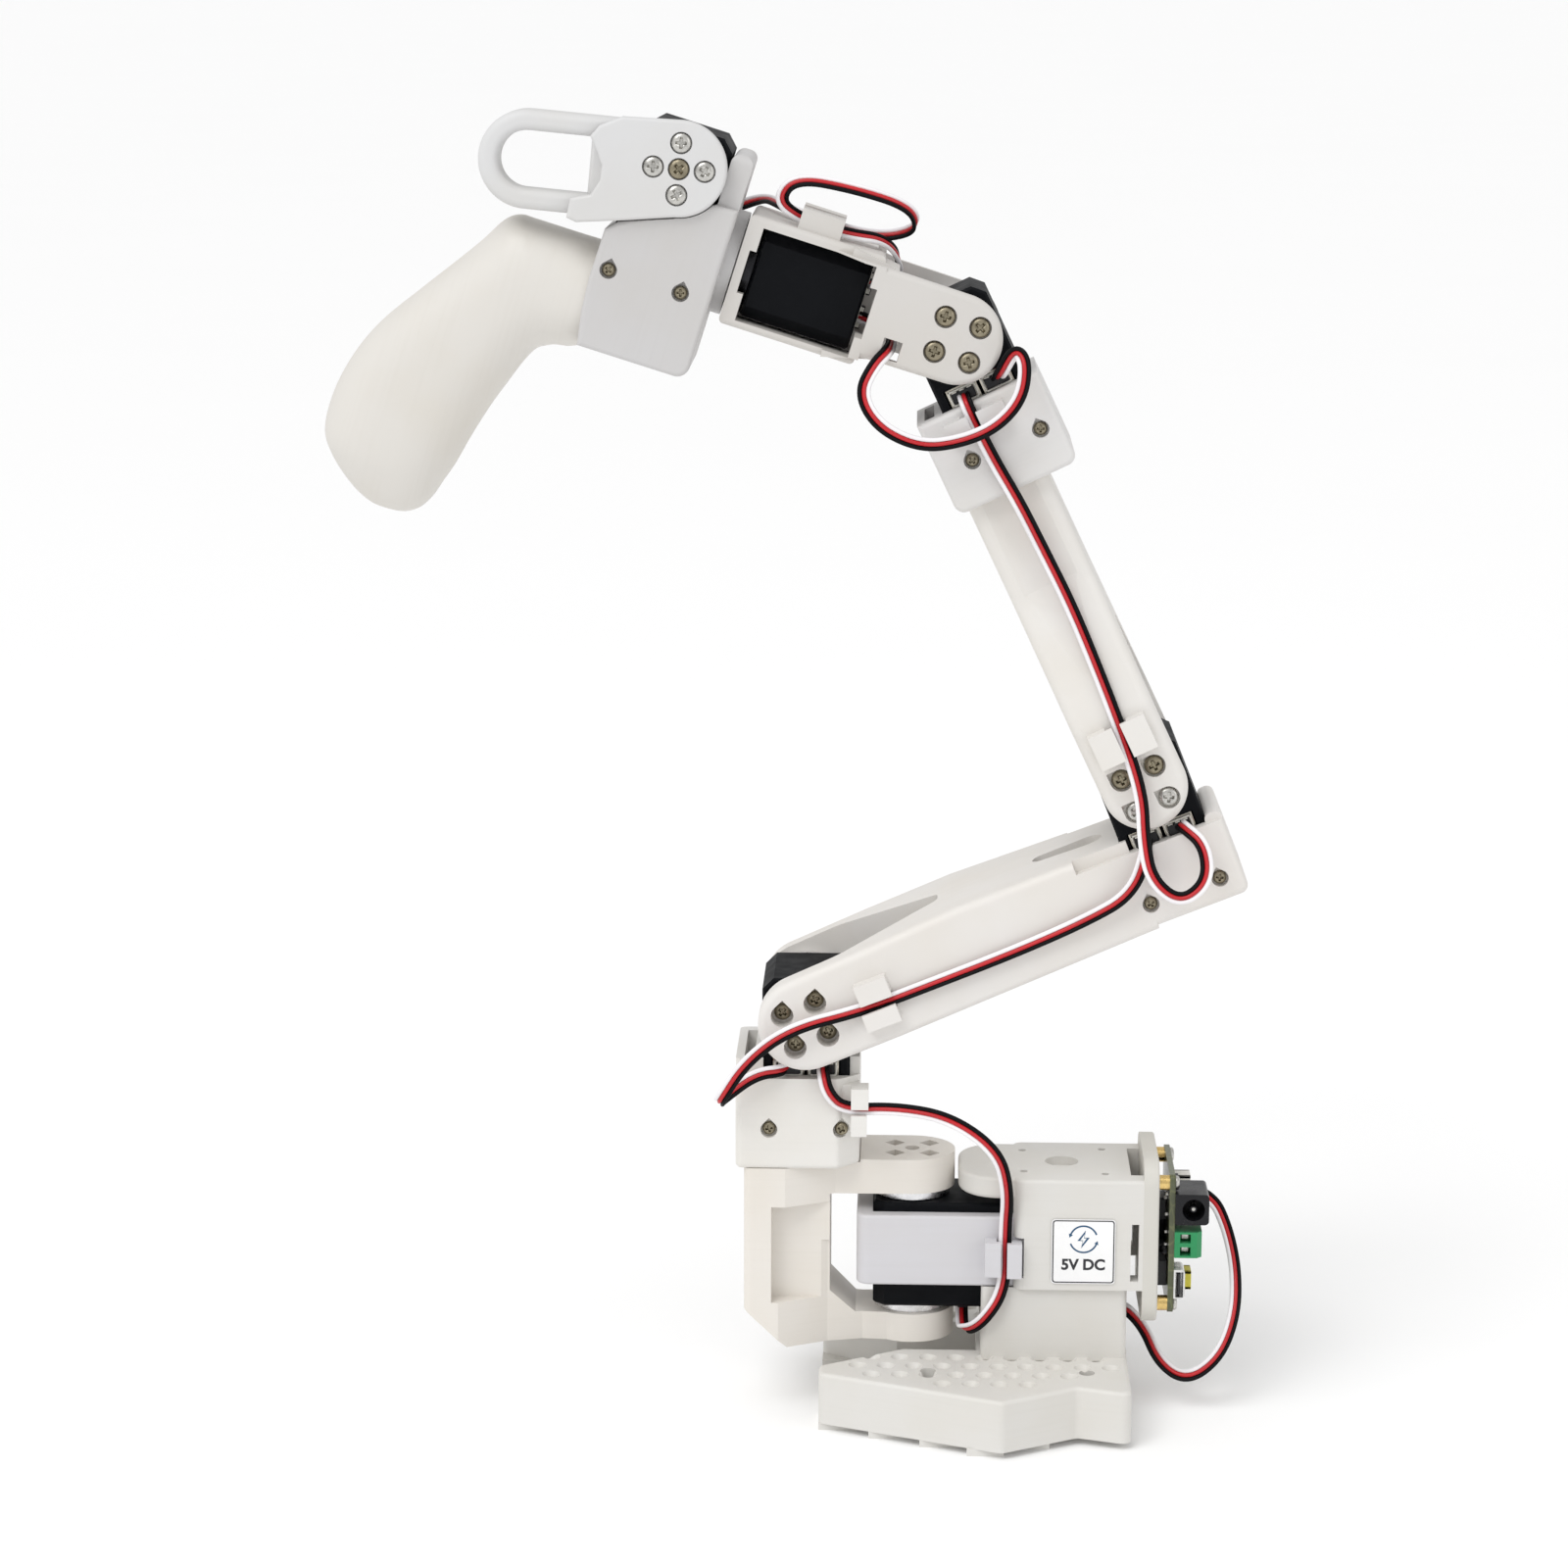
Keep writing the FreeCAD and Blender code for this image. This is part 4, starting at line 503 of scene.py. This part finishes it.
def add_board_details(materials):
    """What stands on the control board: lead sockets, the power header, chips, pins and contacts."""
    bm = bmesh.new()
    here = Matrix.Identity(4)
    face, white, yellow, black, tin = BOARD_FACE, 0, 1, 2, 3

    def box(x, y, z, slot, chamfer=0.1):
        add_box(bm, (face + x[0], y[0], z[0]), (face + x[1], y[1], z[1]), here, slot, chamfer)

    def shroud(depth, y, z, wall, slot):
        box((0, 1.2), y, z, slot)
        for a, b in ((z[0], z[0] + wall), (z[1] - wall, z[1])):
            box((0, depth), y, (a, b), slot)
        for a, b in ((y[0], y[0] + wall), (y[1] - wall, y[1])):
            box((0, depth), (a, b), z, slot)

    for z in (54.5, 39.5):
        shroud(5.8, (6.5, 12.5), (z, z + 9.8), 0.9, white)
        for k in (-1, 0, 1):
            middle = z + 4.9 + 2.5 * k
            box((1.0, 4.6), (9.2, 9.8), (middle - 0.3, middle + 0.3), tin, 0.06)
    shroud(6.1, (-1.0, 5.0), (32.4, 37.8), 0.8, yellow)
    for z in (33.9, 36.3):
        box((1.0, 5.0), (1.7, 2.3), (z - 0.3, z + 0.3), tin, 0.06)
        box((2.2, 3.4), (-1.15, -0.9), (z - 0.5, z + 0.5), black, 0.05)
    for y0, y1, z0, z1, height in ((-5.5, 1.5, 47.5, 54.5, 1.4), (8.0, 11.0, 32.0, 35.0, 1.2),
                                   (2.5, 5.5, 62.0, 66.0, 2.0), (-8.0, -5.0, 31.6, 34.2, 1.0)):
        box((0.15, height), (y0 + 0.5, y1 - 0.5), (z0 + 0.4, z1 - 0.4), black, 0.12)
        count = max(2, int((z1 - z0) / 1.0))
        for k in range(count):
            z = z0 + 0.6 + k * (z1 - z0 - 1.2) / (count - 1)
            box((0.0, 0.35), (y0, y1), (z - 0.17, z + 0.17), tin, 0.04)
    box((0, 1.8), (13.4, 15.4), (44, 52), black)
    for k in range(14):
        y, z = -13.5 + (k * 7.3) % 17.5, 37.0 + (k * 11.9) % 30.0
        if -7 < y < 3 and 45 < z < 57 or y < -3 and z > 45 or z < 40 and y > -3:
            continue
        box((0, 0.55), (y, y + 1.7), (z, z + 0.9), tin, 0.05)
        box((0.02, 0.6), (y + 0.4, y + 1.3), (z - 0.03, z + 0.93), black if k % 3 else white, 0.05)
    for y0, y1, z0, z1, depth in ((-11.5, -3.5, 37.0, 44.5, 3.1), (-1.5, 5.5, 38.0, 46.0, 2.4),
                                  (7.0, 12.5, 42.0, 51.0, 3.3), (-3.0, 4.5, 54.0, 60.5, 2.6),
                                  (-12.0, -7.5, 46.5, 47.6, 1.4)):
        box((-1.6 - depth, -1.6), (y0, y1), (z0, z1), black, 0.3)
    for y, z in ((-10.5, 49.1), (-10.5, 52.9), (-6.0, 61.6), (-12.0, 58.6), (-12.0, 64.6)):
        box((-2.7, -1.5), (y - 0.45, y + 0.45), (z - 0.45, z + 0.45), tin, 0.3)
    for z in (49.1, 52.9):
        box((1.7, 4.5), (-14.6, -11.2), (z - 1.2, z + 1.2), tin, 0.5)
        box((6.1, 7.2), (-13.8, -11.4), (z - 1.2, z + 1.2), tin, 0.5)
    box((1.2, 2.0), (-16.7, -11.1), (36.1, 42.4), black, 0.15)
    pin = bmesh.new()
    lathe(pin, [(0, 0), (1.0, 0), (1.0, 8.2), (0.75, 8.7), (0, 9.0)], 16)
    mesh = bpy.data.meshes.new("pin")
    pin.to_mesh(mesh)
    pin.free()
    stamp(bm, mesh, facing_y(face + 5.2, -8.0, 61.6, -1), tin)
    piece = add_piece_in_mm("board_details", bm, [materials[name] for name in
                                                  ("white_connector", "yellow_header", "chip", "nickel")])
    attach(piece, "base")
    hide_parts("bus_connectors", "board_components")


def dress_cad(materials):
    for node, (colour, space, axis) in PRINTED.items():
        repaint(node, printed(f"{node}_print", colour, space, axis))
        bevel = NODES[node].modifiers.new("soft_edges", "BEVEL")
        bevel.width = SOFT_EDGE
        bevel.segments = 2
        bevel.limit_method = "ANGLE"
        bevel.angle_limit = math.radians(40)
        bevel.harden_normals = False
    for node, material in CARRIED.items():
        repaint(node, materials[material])
    for name, space in SERVOS.items():
        repaint(f"{name}_servo_case", materials["servo_black"])
        repaint(f"{name}_servo_internals", materials["servo_works"])
        # the roll horn gets painted shade: near-black for the shadow in its notch, on the same metal as the
        # other horns
        colour = ROLL_HORN_PAINTED_SHADE if name == "roll" else BARE_HORN
        repaint(f"{name}_horns", metal(f"{name}_horn_metal", colour, 0.26, space, 0.85))


# ---- screws -------------------------------------------------------------------------------------------
def lathe(bm, profile, turns):
    """Turns a profile of (radius, height) round z; a radius of 0 closes an end."""
    rings = []
    for radius, height in profile:
        if radius == 0:
            rings.append([bm.verts.new((0, 0, height))])
            continue
        rings.append([bm.verts.new((radius * math.cos(a), radius * math.sin(a), height))
                      for a in (2 * math.pi * k / turns for k in range(turns))])
    for low, high in zip(rings, rings[1:]):
        for k in range(turns):
            corners = [ring[i % len(ring)]
                       for ring, i in ((low, k), (low, k + 1), (high, k + 1), (high, k))]
            corners = list(dict.fromkeys(corners))
            bm.faces.new(corners).smooth = True


def screw_mesh(radius, height, shank_radius, shank_length):
    """A pan-head screw with a tapered cross recess: seat at z = 0, head up, shank down."""
    bm = bmesh.new()
    lathe(bm, [(0, -shank_length), (shank_radius * 0.7, -shank_length),
               (shank_radius, 0.5 - shank_length), (shank_radius, -0.05), (radius - 0.12, 0),
               (radius, 0.12), (radius, height * 0.42), (radius * 0.95, height * 0.68),
               (radius * 0.82, height * 0.87), (radius * 0.58, height * 0.97), (0, height)], 28)
    mesh = bpy.data.meshes.new("screw")
    bm.to_mesh(mesh)
    bm.free()
    arm, width, depth = radius * 0.60, radius * 0.17, height * 0.62
    cutter = bmesh.new()
    outline = [(arm, -width), (arm, width), (width, width), (width, arm), (-width, arm), (-width, width),
               (-arm, width), (-arm, -width), (-width, -width), (-width, -arm), (width, -arm),
               (width, -width)]
    low = [cutter.verts.new((x * 0.62, y * 0.62, height - depth)) for x, y in outline]
    high = [cutter.verts.new((x * 1.05, y * 1.05, height + 0.3)) for x, y in outline]
    cutter.faces.new(low[::-1])
    cutter.faces.new(high)
    for k in range(len(outline)):
        n = (k + 1) % len(outline)
        cutter.faces.new((low[k], low[n], high[n], high[k]))
    cross = bpy.data.meshes.new("cross")
    cutter.to_mesh(cross)
    cutter.free()
    body, tool = bpy.data.objects.new("screw", mesh), bpy.data.objects.new("cross", cross)
    for piece in (body, tool):
        bpy.context.collection.objects.link(piece)
    cut = body.modifiers.new("recess", "BOOLEAN")
    cut.operation = "DIFFERENCE"
    cut.solver = "EXACT"
    cut.object = tool
    graph = bpy.context.evaluated_depsgraph_get()
    result = bpy.data.meshes.new_from_object(body.evaluated_get(graph))
    for piece in (body, tool):
        bpy.data.objects.remove(piece)
    return result


def stamp(bm, mesh, matrix, slot=0):
    """Adds a moved copy of a mesh."""
    first_vert, first_face = len(bm.verts), len(bm.faces)
    bm.from_mesh(mesh)
    bm.verts.ensure_lookup_table()
    bm.faces.ensure_lookup_table()
    bmesh.ops.transform(bm, matrix=matrix, verts=bm.verts[first_vert:])
    for face in bm.faces[first_face:]:
        face.material_index = slot


def facing_y(x, y, z, side, turn=0):
    """At a point of a frame, z turned to point out along +y or -y."""
    return basis((x, y, z), (1, 0, 0), (0, 0, -side)) @ Matrix.Rotation(math.radians(turn), 4, "Z")


def on_circle(turn):
    return [(HORN_SCREW_RADIUS * math.cos(math.radians(turn + 90 * k)),
             HORN_SCREW_RADIUS * math.sin(math.radians(turn + 90 * k))) for k in range(4)]


def horn_screws(space, floor, turn, sides=(-1, 1)):
    return [space @ facing_y(x, side * floor, z, side, 31 * k)
            for side in sides for k, (x, z) in enumerate(on_circle(turn))]


def case_screws(space):
    return [space @ facing_y(CASE_SCREW_X, side * MOUNT_SEAT, s * CASE_SCREW_Z, side, 40 + 25 * s)
            for side in (-1, 1) for s in (-1, 1)]


def add_screws(materials):
    big = screw_mesh(2.75, 1.7, 1.4, 4.4)
    small = screw_mesh(1.9, 1.4, 1.2, 4.4)
    sunk = screw_mesh(2.4, 1.5, 1.4, 4.4)
    mount = screw_mesh(1.9, 1.5, 1.15, 8.4)
    roll = screw_mesh(2.7, 1.7, 1.4, 5.0)
    board = screw_mesh(2.1, 1.3, 1.2, 5.5)
    outwards = [WRIST @ basis((ROLL_SEAT, y, z + ROLL_DROP), (0, 1, 0), (0, 0, 1))
                for y, z in on_circle(45)]
    corners = [basis((BOARD_FACE, y, z), (0, 1, 0), (0, 0, 1))
               for y in (-13.8, 13.8) for z in (32.7, 68.5)]
    elbow_screws = horn_screws(FOREARM, FOREARM_SEAT, 45)
    sets = {
        "shoulder_screws": [(small, horn_screws(SERVOS["pan"], PAN_SEAT, 45), 0),
                            (mount, case_screws(SERVOS["lift"]), 0)],
        "upper_arm_screws": [(sunk, horn_screws(UPPER, UPPER_SEAT, 45), 0),
                             (mount, case_screws(SERVOS["elbow"]), 0)],
        "forearm_screws": [(big, elbow_screws[1:3], 1), (big, elbow_screws[:1] + elbow_screws[3:], 0),
                           (mount, case_screws(SERVOS["wrist"]), 0)],
        "wrist_screws": [(big, horn_screws(WRIST, WRIST_SEAT, 45), 0)],
        "handle_screws": [(roll, outwards, 0), (mount, case_screws(SERVOS["trigger"]), 0)],
        "trigger_screws": [(big, horn_screws(TRIGGER, TRIGGER_SEAT, 0, (-1,)), 1),
                           (big, [TRIGGER @ facing_y(0, -TRIGGER_SEAT, 0, -1, 45)], 0)],
        "board_screws": [(board, corners, 1)],
    }
    for node, groups in sets.items():
        bm = bmesh.new()
        for mesh, places, slot in groups:
            for place in places:
                stamp(bm, mesh, place, slot)
        piece = add_piece_in_mm(f"{node}_crosshead", bm, [materials["bronze"], materials["nickel"]])
        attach(piece, body_of(NODES[node])[0])
        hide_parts(node)


# ---- plugs on the leads -------------------------------------------------------------------------------
def add_box(bm, low, high, matrix, slot=0, chamfer=0.0):
    made = bmesh.new()
    bmesh.ops.create_cube(made, size=1.0)
    for vertex in made.verts:
        vertex.co = [a + (b - a) * (c + 0.5) for a, b, c in zip(low, high, vertex.co)]
    if chamfer:
        bmesh.ops.bevel(made, geom=made.edges[:], offset=chamfer, segments=2, affect="EDGES",
                        profile=0.5)
    mesh = bpy.data.meshes.new("box")
    made.to_mesh(mesh)
    made.free()
    stamp(bm, mesh, matrix, slot)
    bpy.data.meshes.remove(mesh)


PLUG_X = (12.7, 17.1)
PLUG_Y = (-16.0, -14.7)
PLUG_Z = (0.9, 8.9)
RIM = 0.5


def add_plugs(materials):
    """A three-way crimp housing in each servo socket that has a lead, and the socket's pale rim."""
    for name, space in SERVOS.items():
        bm = bmesh.new()
        for side in (-1, 1) if name != "trigger" else (-1,):
            z_low, z_high = sorted(side * z for z in PLUG_Z)
            for z0, z1 in ((z_low, z_low + RIM), (z_high - RIM, z_high)):
                add_box(bm, (PLUG_X[0], PLUG_Y[0], z0), (PLUG_X[1], PLUG_Y[1], z1), space, 0, 0.12)
            for x0, x1 in ((PLUG_X[0], PLUG_X[0] + RIM), (PLUG_X[1] - RIM, PLUG_X[1])):
                add_box(bm, (x0, PLUG_Y[0], z_low), (x1, PLUG_Y[1], z_high), space, 0, 0.12)
            add_box(bm, (13.4, -17.2, z_low + 0.7), (16.4, PLUG_Y[1], z_high - 0.7), space, 1, 0.25)
            for k in (-1, 0, 1):
                middle = side * sum(PLUG_Z) / 2 + k * 2.2
                add_box(bm, (13.2, -17.0, middle - 0.7), (13.8, -15.2, middle + 0.7), space, 0, 0.08)
        piece = add_piece_in_mm(f"{name}_lead_plugs", bm, [materials["white_connector"],
                                                           materials["black_connector"]])
        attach(piece, SERVO_BODY[name])


# ---- rating label -------------------------------------------------------------------------------------
LABEL_X = (39.8, 57.9)
LABEL_Z = (39.9, 59.0)
LABEL_Y = -19.3


def rounded_outline(width, height, radius, steps=6):
    points = []
    for sx, sz, start in ((1, 1, 0), (-1, 1, 90), (-1, -1, 180), (1, -1, 270)):
        for k in range(steps + 1):
            a = math.radians(start + 90 * k / steps)
            points.append((sx * (width / 2 - radius) + radius * math.cos(a),
                           sz * (height / 2 - radius) + radius * math.sin(a)))
    return points


def flat_shape(bm, outer, inner, lift, slot, move=(0, 0)):
    """A thin printed shape facing -y: a filled outline, or a band between two outlines."""
    rings = [[bm.verts.new((x + move[0], -lift, z + move[1])) for x, z in line]
             for line in (outer, inner) if line]
    if len(rings) == 1:
        bm.faces.new(rings[0]).material_index = slot
        return
    count = len(outer)
    for k in range(count):
        n = (k + 1) % count
        bm.faces.new((rings[0][k], rings[0][n], rings[1][n], rings[1][k])).material_index = slot


def arc_band(bm, radius, width, start, stop, lift, slot, move):
    steps = 24
    angles = [math.radians(start + (stop - start) * k / steps) for k in range(steps + 1)]
    inner, outer = radius - width / 2, radius + width / 2
    line = [(outer * math.cos(a), outer * math.sin(a)) for a in angles]
    back = [(inner * math.cos(a), inner * math.sin(a)) for a in reversed(angles)]
    for k in range(steps):
        flat_shape(bm, [line[k], line[k + 1], back[-2 - k], back[-1 - k]], None, lift, slot, move)
    a = angles[-1]
    tip = (radius * math.cos(a) - 1.1 * math.sin(a), radius * math.sin(a) + 1.1 * math.cos(a))
    flat_shape(bm, [(radius * 1.16 * math.cos(a), radius * 1.16 * math.sin(a)), tip,
                    (radius * 0.84 * math.cos(a), radius * 0.84 * math.sin(a))], None, lift, slot, move)


def add_label(materials):
    """A square label: a thin border, a bolt inside two round arrows, and the supply voltage."""
    width, height = LABEL_X[1] - LABEL_X[0], LABEL_Z[1] - LABEL_Z[0]
    ink, mark = 0.14, (0, 3.7)
    bm = bmesh.new()
    plate = rounded_outline(width, height, 1.0)
    front = [bm.verts.new((x, -0.12, z)) for x, z in plate]
    back = [bm.verts.new((x, 0, z)) for x, z in plate]
    bm.faces.new(front)
    for k in range(len(plate)):
        n = (k + 1) % len(plate)
        bm.faces.new((front[k], front[n], back[n], back[k]))
    flat_shape(bm, rounded_outline(width - 0.5, height - 0.5, 0.9),
               rounded_outline(width - 1.2, height - 1.2, 0.65), ink, 1)
    for start in (20, 200):
        arc_band(bm, 3.9, 0.5, start, start + 138, ink, 2, mark)
    bolt = [(0.65, 2.7), (-1.75, -0.5), (-0.25, -0.5), (-0.65, -2.7), (1.75, 0.5), (0.25, 0.5)]
    flat_shape(bm, bolt, [(x * 0.52, z * 0.58) for x, z in bolt], ink, 2, mark)
    text = bpy.data.curves.new("supply", "FONT")
    text.body = "5V DC"
    text.size = 4.4
    text.offset = 0.16
    text.align_x = "CENTER"
    text.resolution_u = 4
    holder = bpy.data.objects.new("supply", text)
    letters = bpy.data.meshes.new_from_object(holder)
    stamp(bm, letters, basis((0, -ink, -5.3), (1, 0, 0), (0, 0, 1)), 1)
    bpy.data.objects.remove(holder)
    middle = ((LABEL_X[0] + LABEL_X[1]) / 2, LABEL_Y, (LABEL_Z[0] + LABEL_Z[1]) / 2)
    bmesh.ops.translate(bm, vec=middle, verts=bm.verts)
    bmesh.ops.scale(bm, vec=(MM, MM, MM), verts=bm.verts)
    for face in bm.faces:
        face.normal_update()
        if face.normal.y > 0.5:
            face.normal_flip()
    mesh = bpy.data.meshes.new("supply_label")
    bm.to_mesh(mesh)
    bm.free()
    for name in ("label", "ink_black", "ink_blue"):
        mesh.materials.append(materials[name])
    piece = bpy.data.objects.new("supply_label", mesh)
    bpy.context.collection.objects.link(piece)
    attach(piece, "base")
    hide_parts("rating_sticker")


# ---- grip ---------------------------------------------------------------------------------------------
# sections in the wrist's frame, in millimetres: the two ends of each in the XZ plane, and its half depth
GRIP_SECTIONS = [
    (99.4, 5.9, 98.4, 35.2, 18.5), (107.0, 6.0, 100.6, 36.2, 18.4), (113.6, 6.0, 102.2, 36.6, 18.2),
    (120.2, 6.0, 103.8, 36.9, 18.0), (124.6, 6.2, 105.2, 37.3, 17.8), (128.2, 8.8, 107.0, 38.2, 17.5),
    (132.4, 15.9, 109.3, 39.8, 17.0), (137.7, 23.8, 111.7, 44.2, 16.4), (144.6, 33.7, 114.4, 51.6, 15.8),
    (152.5, 45.5, 117.1, 59.5, 15.2), (157.1, 56.0, 119.7, 69.1, 14.8), (159.6, 67.6, 121.6, 77.5, 14.4),
    (159.3, 78.5, 123.5, 83.5, 13.4), (155.5, 85.0, 124.9, 88.0, 11.6), (148.4, 91.2, 127.2, 92.0, 8.9),
    (142.0, 94.6, 130.5, 94.4, 5.6), (137.0, 95.4, 134.5, 95.2, 1.4)]
GRIP_SQUARENESS = 2.5


def between(line, k, t):
    """A smooth curve through rows of numbers: row k at t = 0, row k + 1 at t = 1."""
    rows = [line[min(max(k + j, 0), len(line) - 1)] for j in (-1, 0, 1, 2)]
    found = []
    for a, b, c, d in zip(*rows):
        found.append(0.5 * (2 * b + (c - a) * t + (2 * a - 5 * b + 4 * c - d) * t * t
                            + (3 * b - a - 3 * c + d) * t ** 3))
    return found


def add_grip(material):
    """The pistol grip as one smooth skin through its sections."""
    bm = bmesh.new()
    turns, steps, rings = 64, 6, []
    for k in range(len(GRIP_SECTIONS) - 1):
        for j in range(steps if k < len(GRIP_SECTIONS) - 2 else steps + 1):
            x0, z0, x1, z1, half_depth = between(GRIP_SECTIONS, k, j / steps)
            ring = []
            for n in range(turns):
                a = 2 * math.pi * n / turns
                over, deep = (math.copysign(abs(v) ** (2 / GRIP_SQUARENESS), v)
                              for v in (math.cos(a), math.sin(a)))
                place = Vector(((x0 + x1) / 2 + over * (x1 - x0) / 2, half_depth * deep,
                                (z0 + z1) / 2 + over * (z1 - z0) / 2))
                ring.append(bm.verts.new((WRIST @ place) * MM))
            rings.append(ring)
    for low, high in zip(rings, rings[1:]):
        for k in range(turns):
            n = (k + 1) % turns
            bm.faces.new((low[k], low[n], high[n], high[k])).smooth = True
    for ring in (rings[0][::-1], rings[-1]):
        bm.faces.new(ring)
    piece = add_piece("grip_skin", bm, [material])
    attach(piece, "handle")
    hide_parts("grip")


# ---- studio -------------------------------------------------------------------------------------------
def add_floor():
    bm = bmesh.new()
    bmesh.ops.create_grid(bm, x_segments=2, y_segments=2, size=40.0)
    mesh = bpy.data.meshes.new("floor")
    bm.to_mesh(mesh)
    bm.free()
    look = Look("pale_floor", (0.97, 0.97, 0.97), 0.7, specular=0.15)
    look.tint(look.ramp(look.noise(3.0), 0.4, 0.8, 0.0, 0.3), (0.955, 0.955, 0.955))
    mesh.materials.append(look.material)
    floor = bpy.data.objects.new("floor", mesh)
    bpy.context.collection.objects.link(floor)


def add_light(name, place, target, size, power):
    lamp = bpy.data.lights.new(name, "AREA")
    lamp.shape = "DISK"
    lamp.size = size
    lamp.energy = power
    holder = bpy.data.objects.new(name, lamp)
    holder.location = place
    holder.rotation_euler = (Vector(target) - Vector(place)).to_track_quat("-Z", "Y").to_euler()
    bpy.context.collection.objects.link(holder)


def add_studio():
    add_floor()
    world = bpy.data.worlds.new("studio")
    world.use_nodes = True
    background = world.node_tree.nodes["Background"]
    background.inputs["Color"].default_value = (1.0, 1.0, 1.0, 1)
    background.inputs["Strength"].default_value = 0.74
    bpy.context.scene.world = world
    bpy.context.scene.view_settings.view_transform = "Standard"
    sun = bpy.data.lights.new("overhead", "SUN")
    sun.energy = 1.05
    sun.angle = math.radians(40)
    holder = bpy.data.objects.new("overhead", sun)
    holder.rotation_euler = Vector((0.42, 0.5, -1.0)).to_track_quat("-Z", "Y").to_euler()
    bpy.context.collection.objects.link(holder)
    middle = (-0.02, 0.0, 0.18)
    add_light("key", (-1.1, -1.6, 1.7), middle, 0.9, 6.0)
    add_light("fill", (1.5, -1.3, 0.9), middle, 0.9, 3.0)


MATERIALS = make_materials()
dress_cad(MATERIALS)
add_leads([MATERIALS[name] for name in ("wire_white", "wire_red", "wire_black")])
add_screws(MATERIALS)
add_plugs(MATERIALS)
add_label(MATERIALS)
add_board_details(MATERIALS)
add_grip(NODES["grip"].data.materials[0])
add_studio()
add_camera()
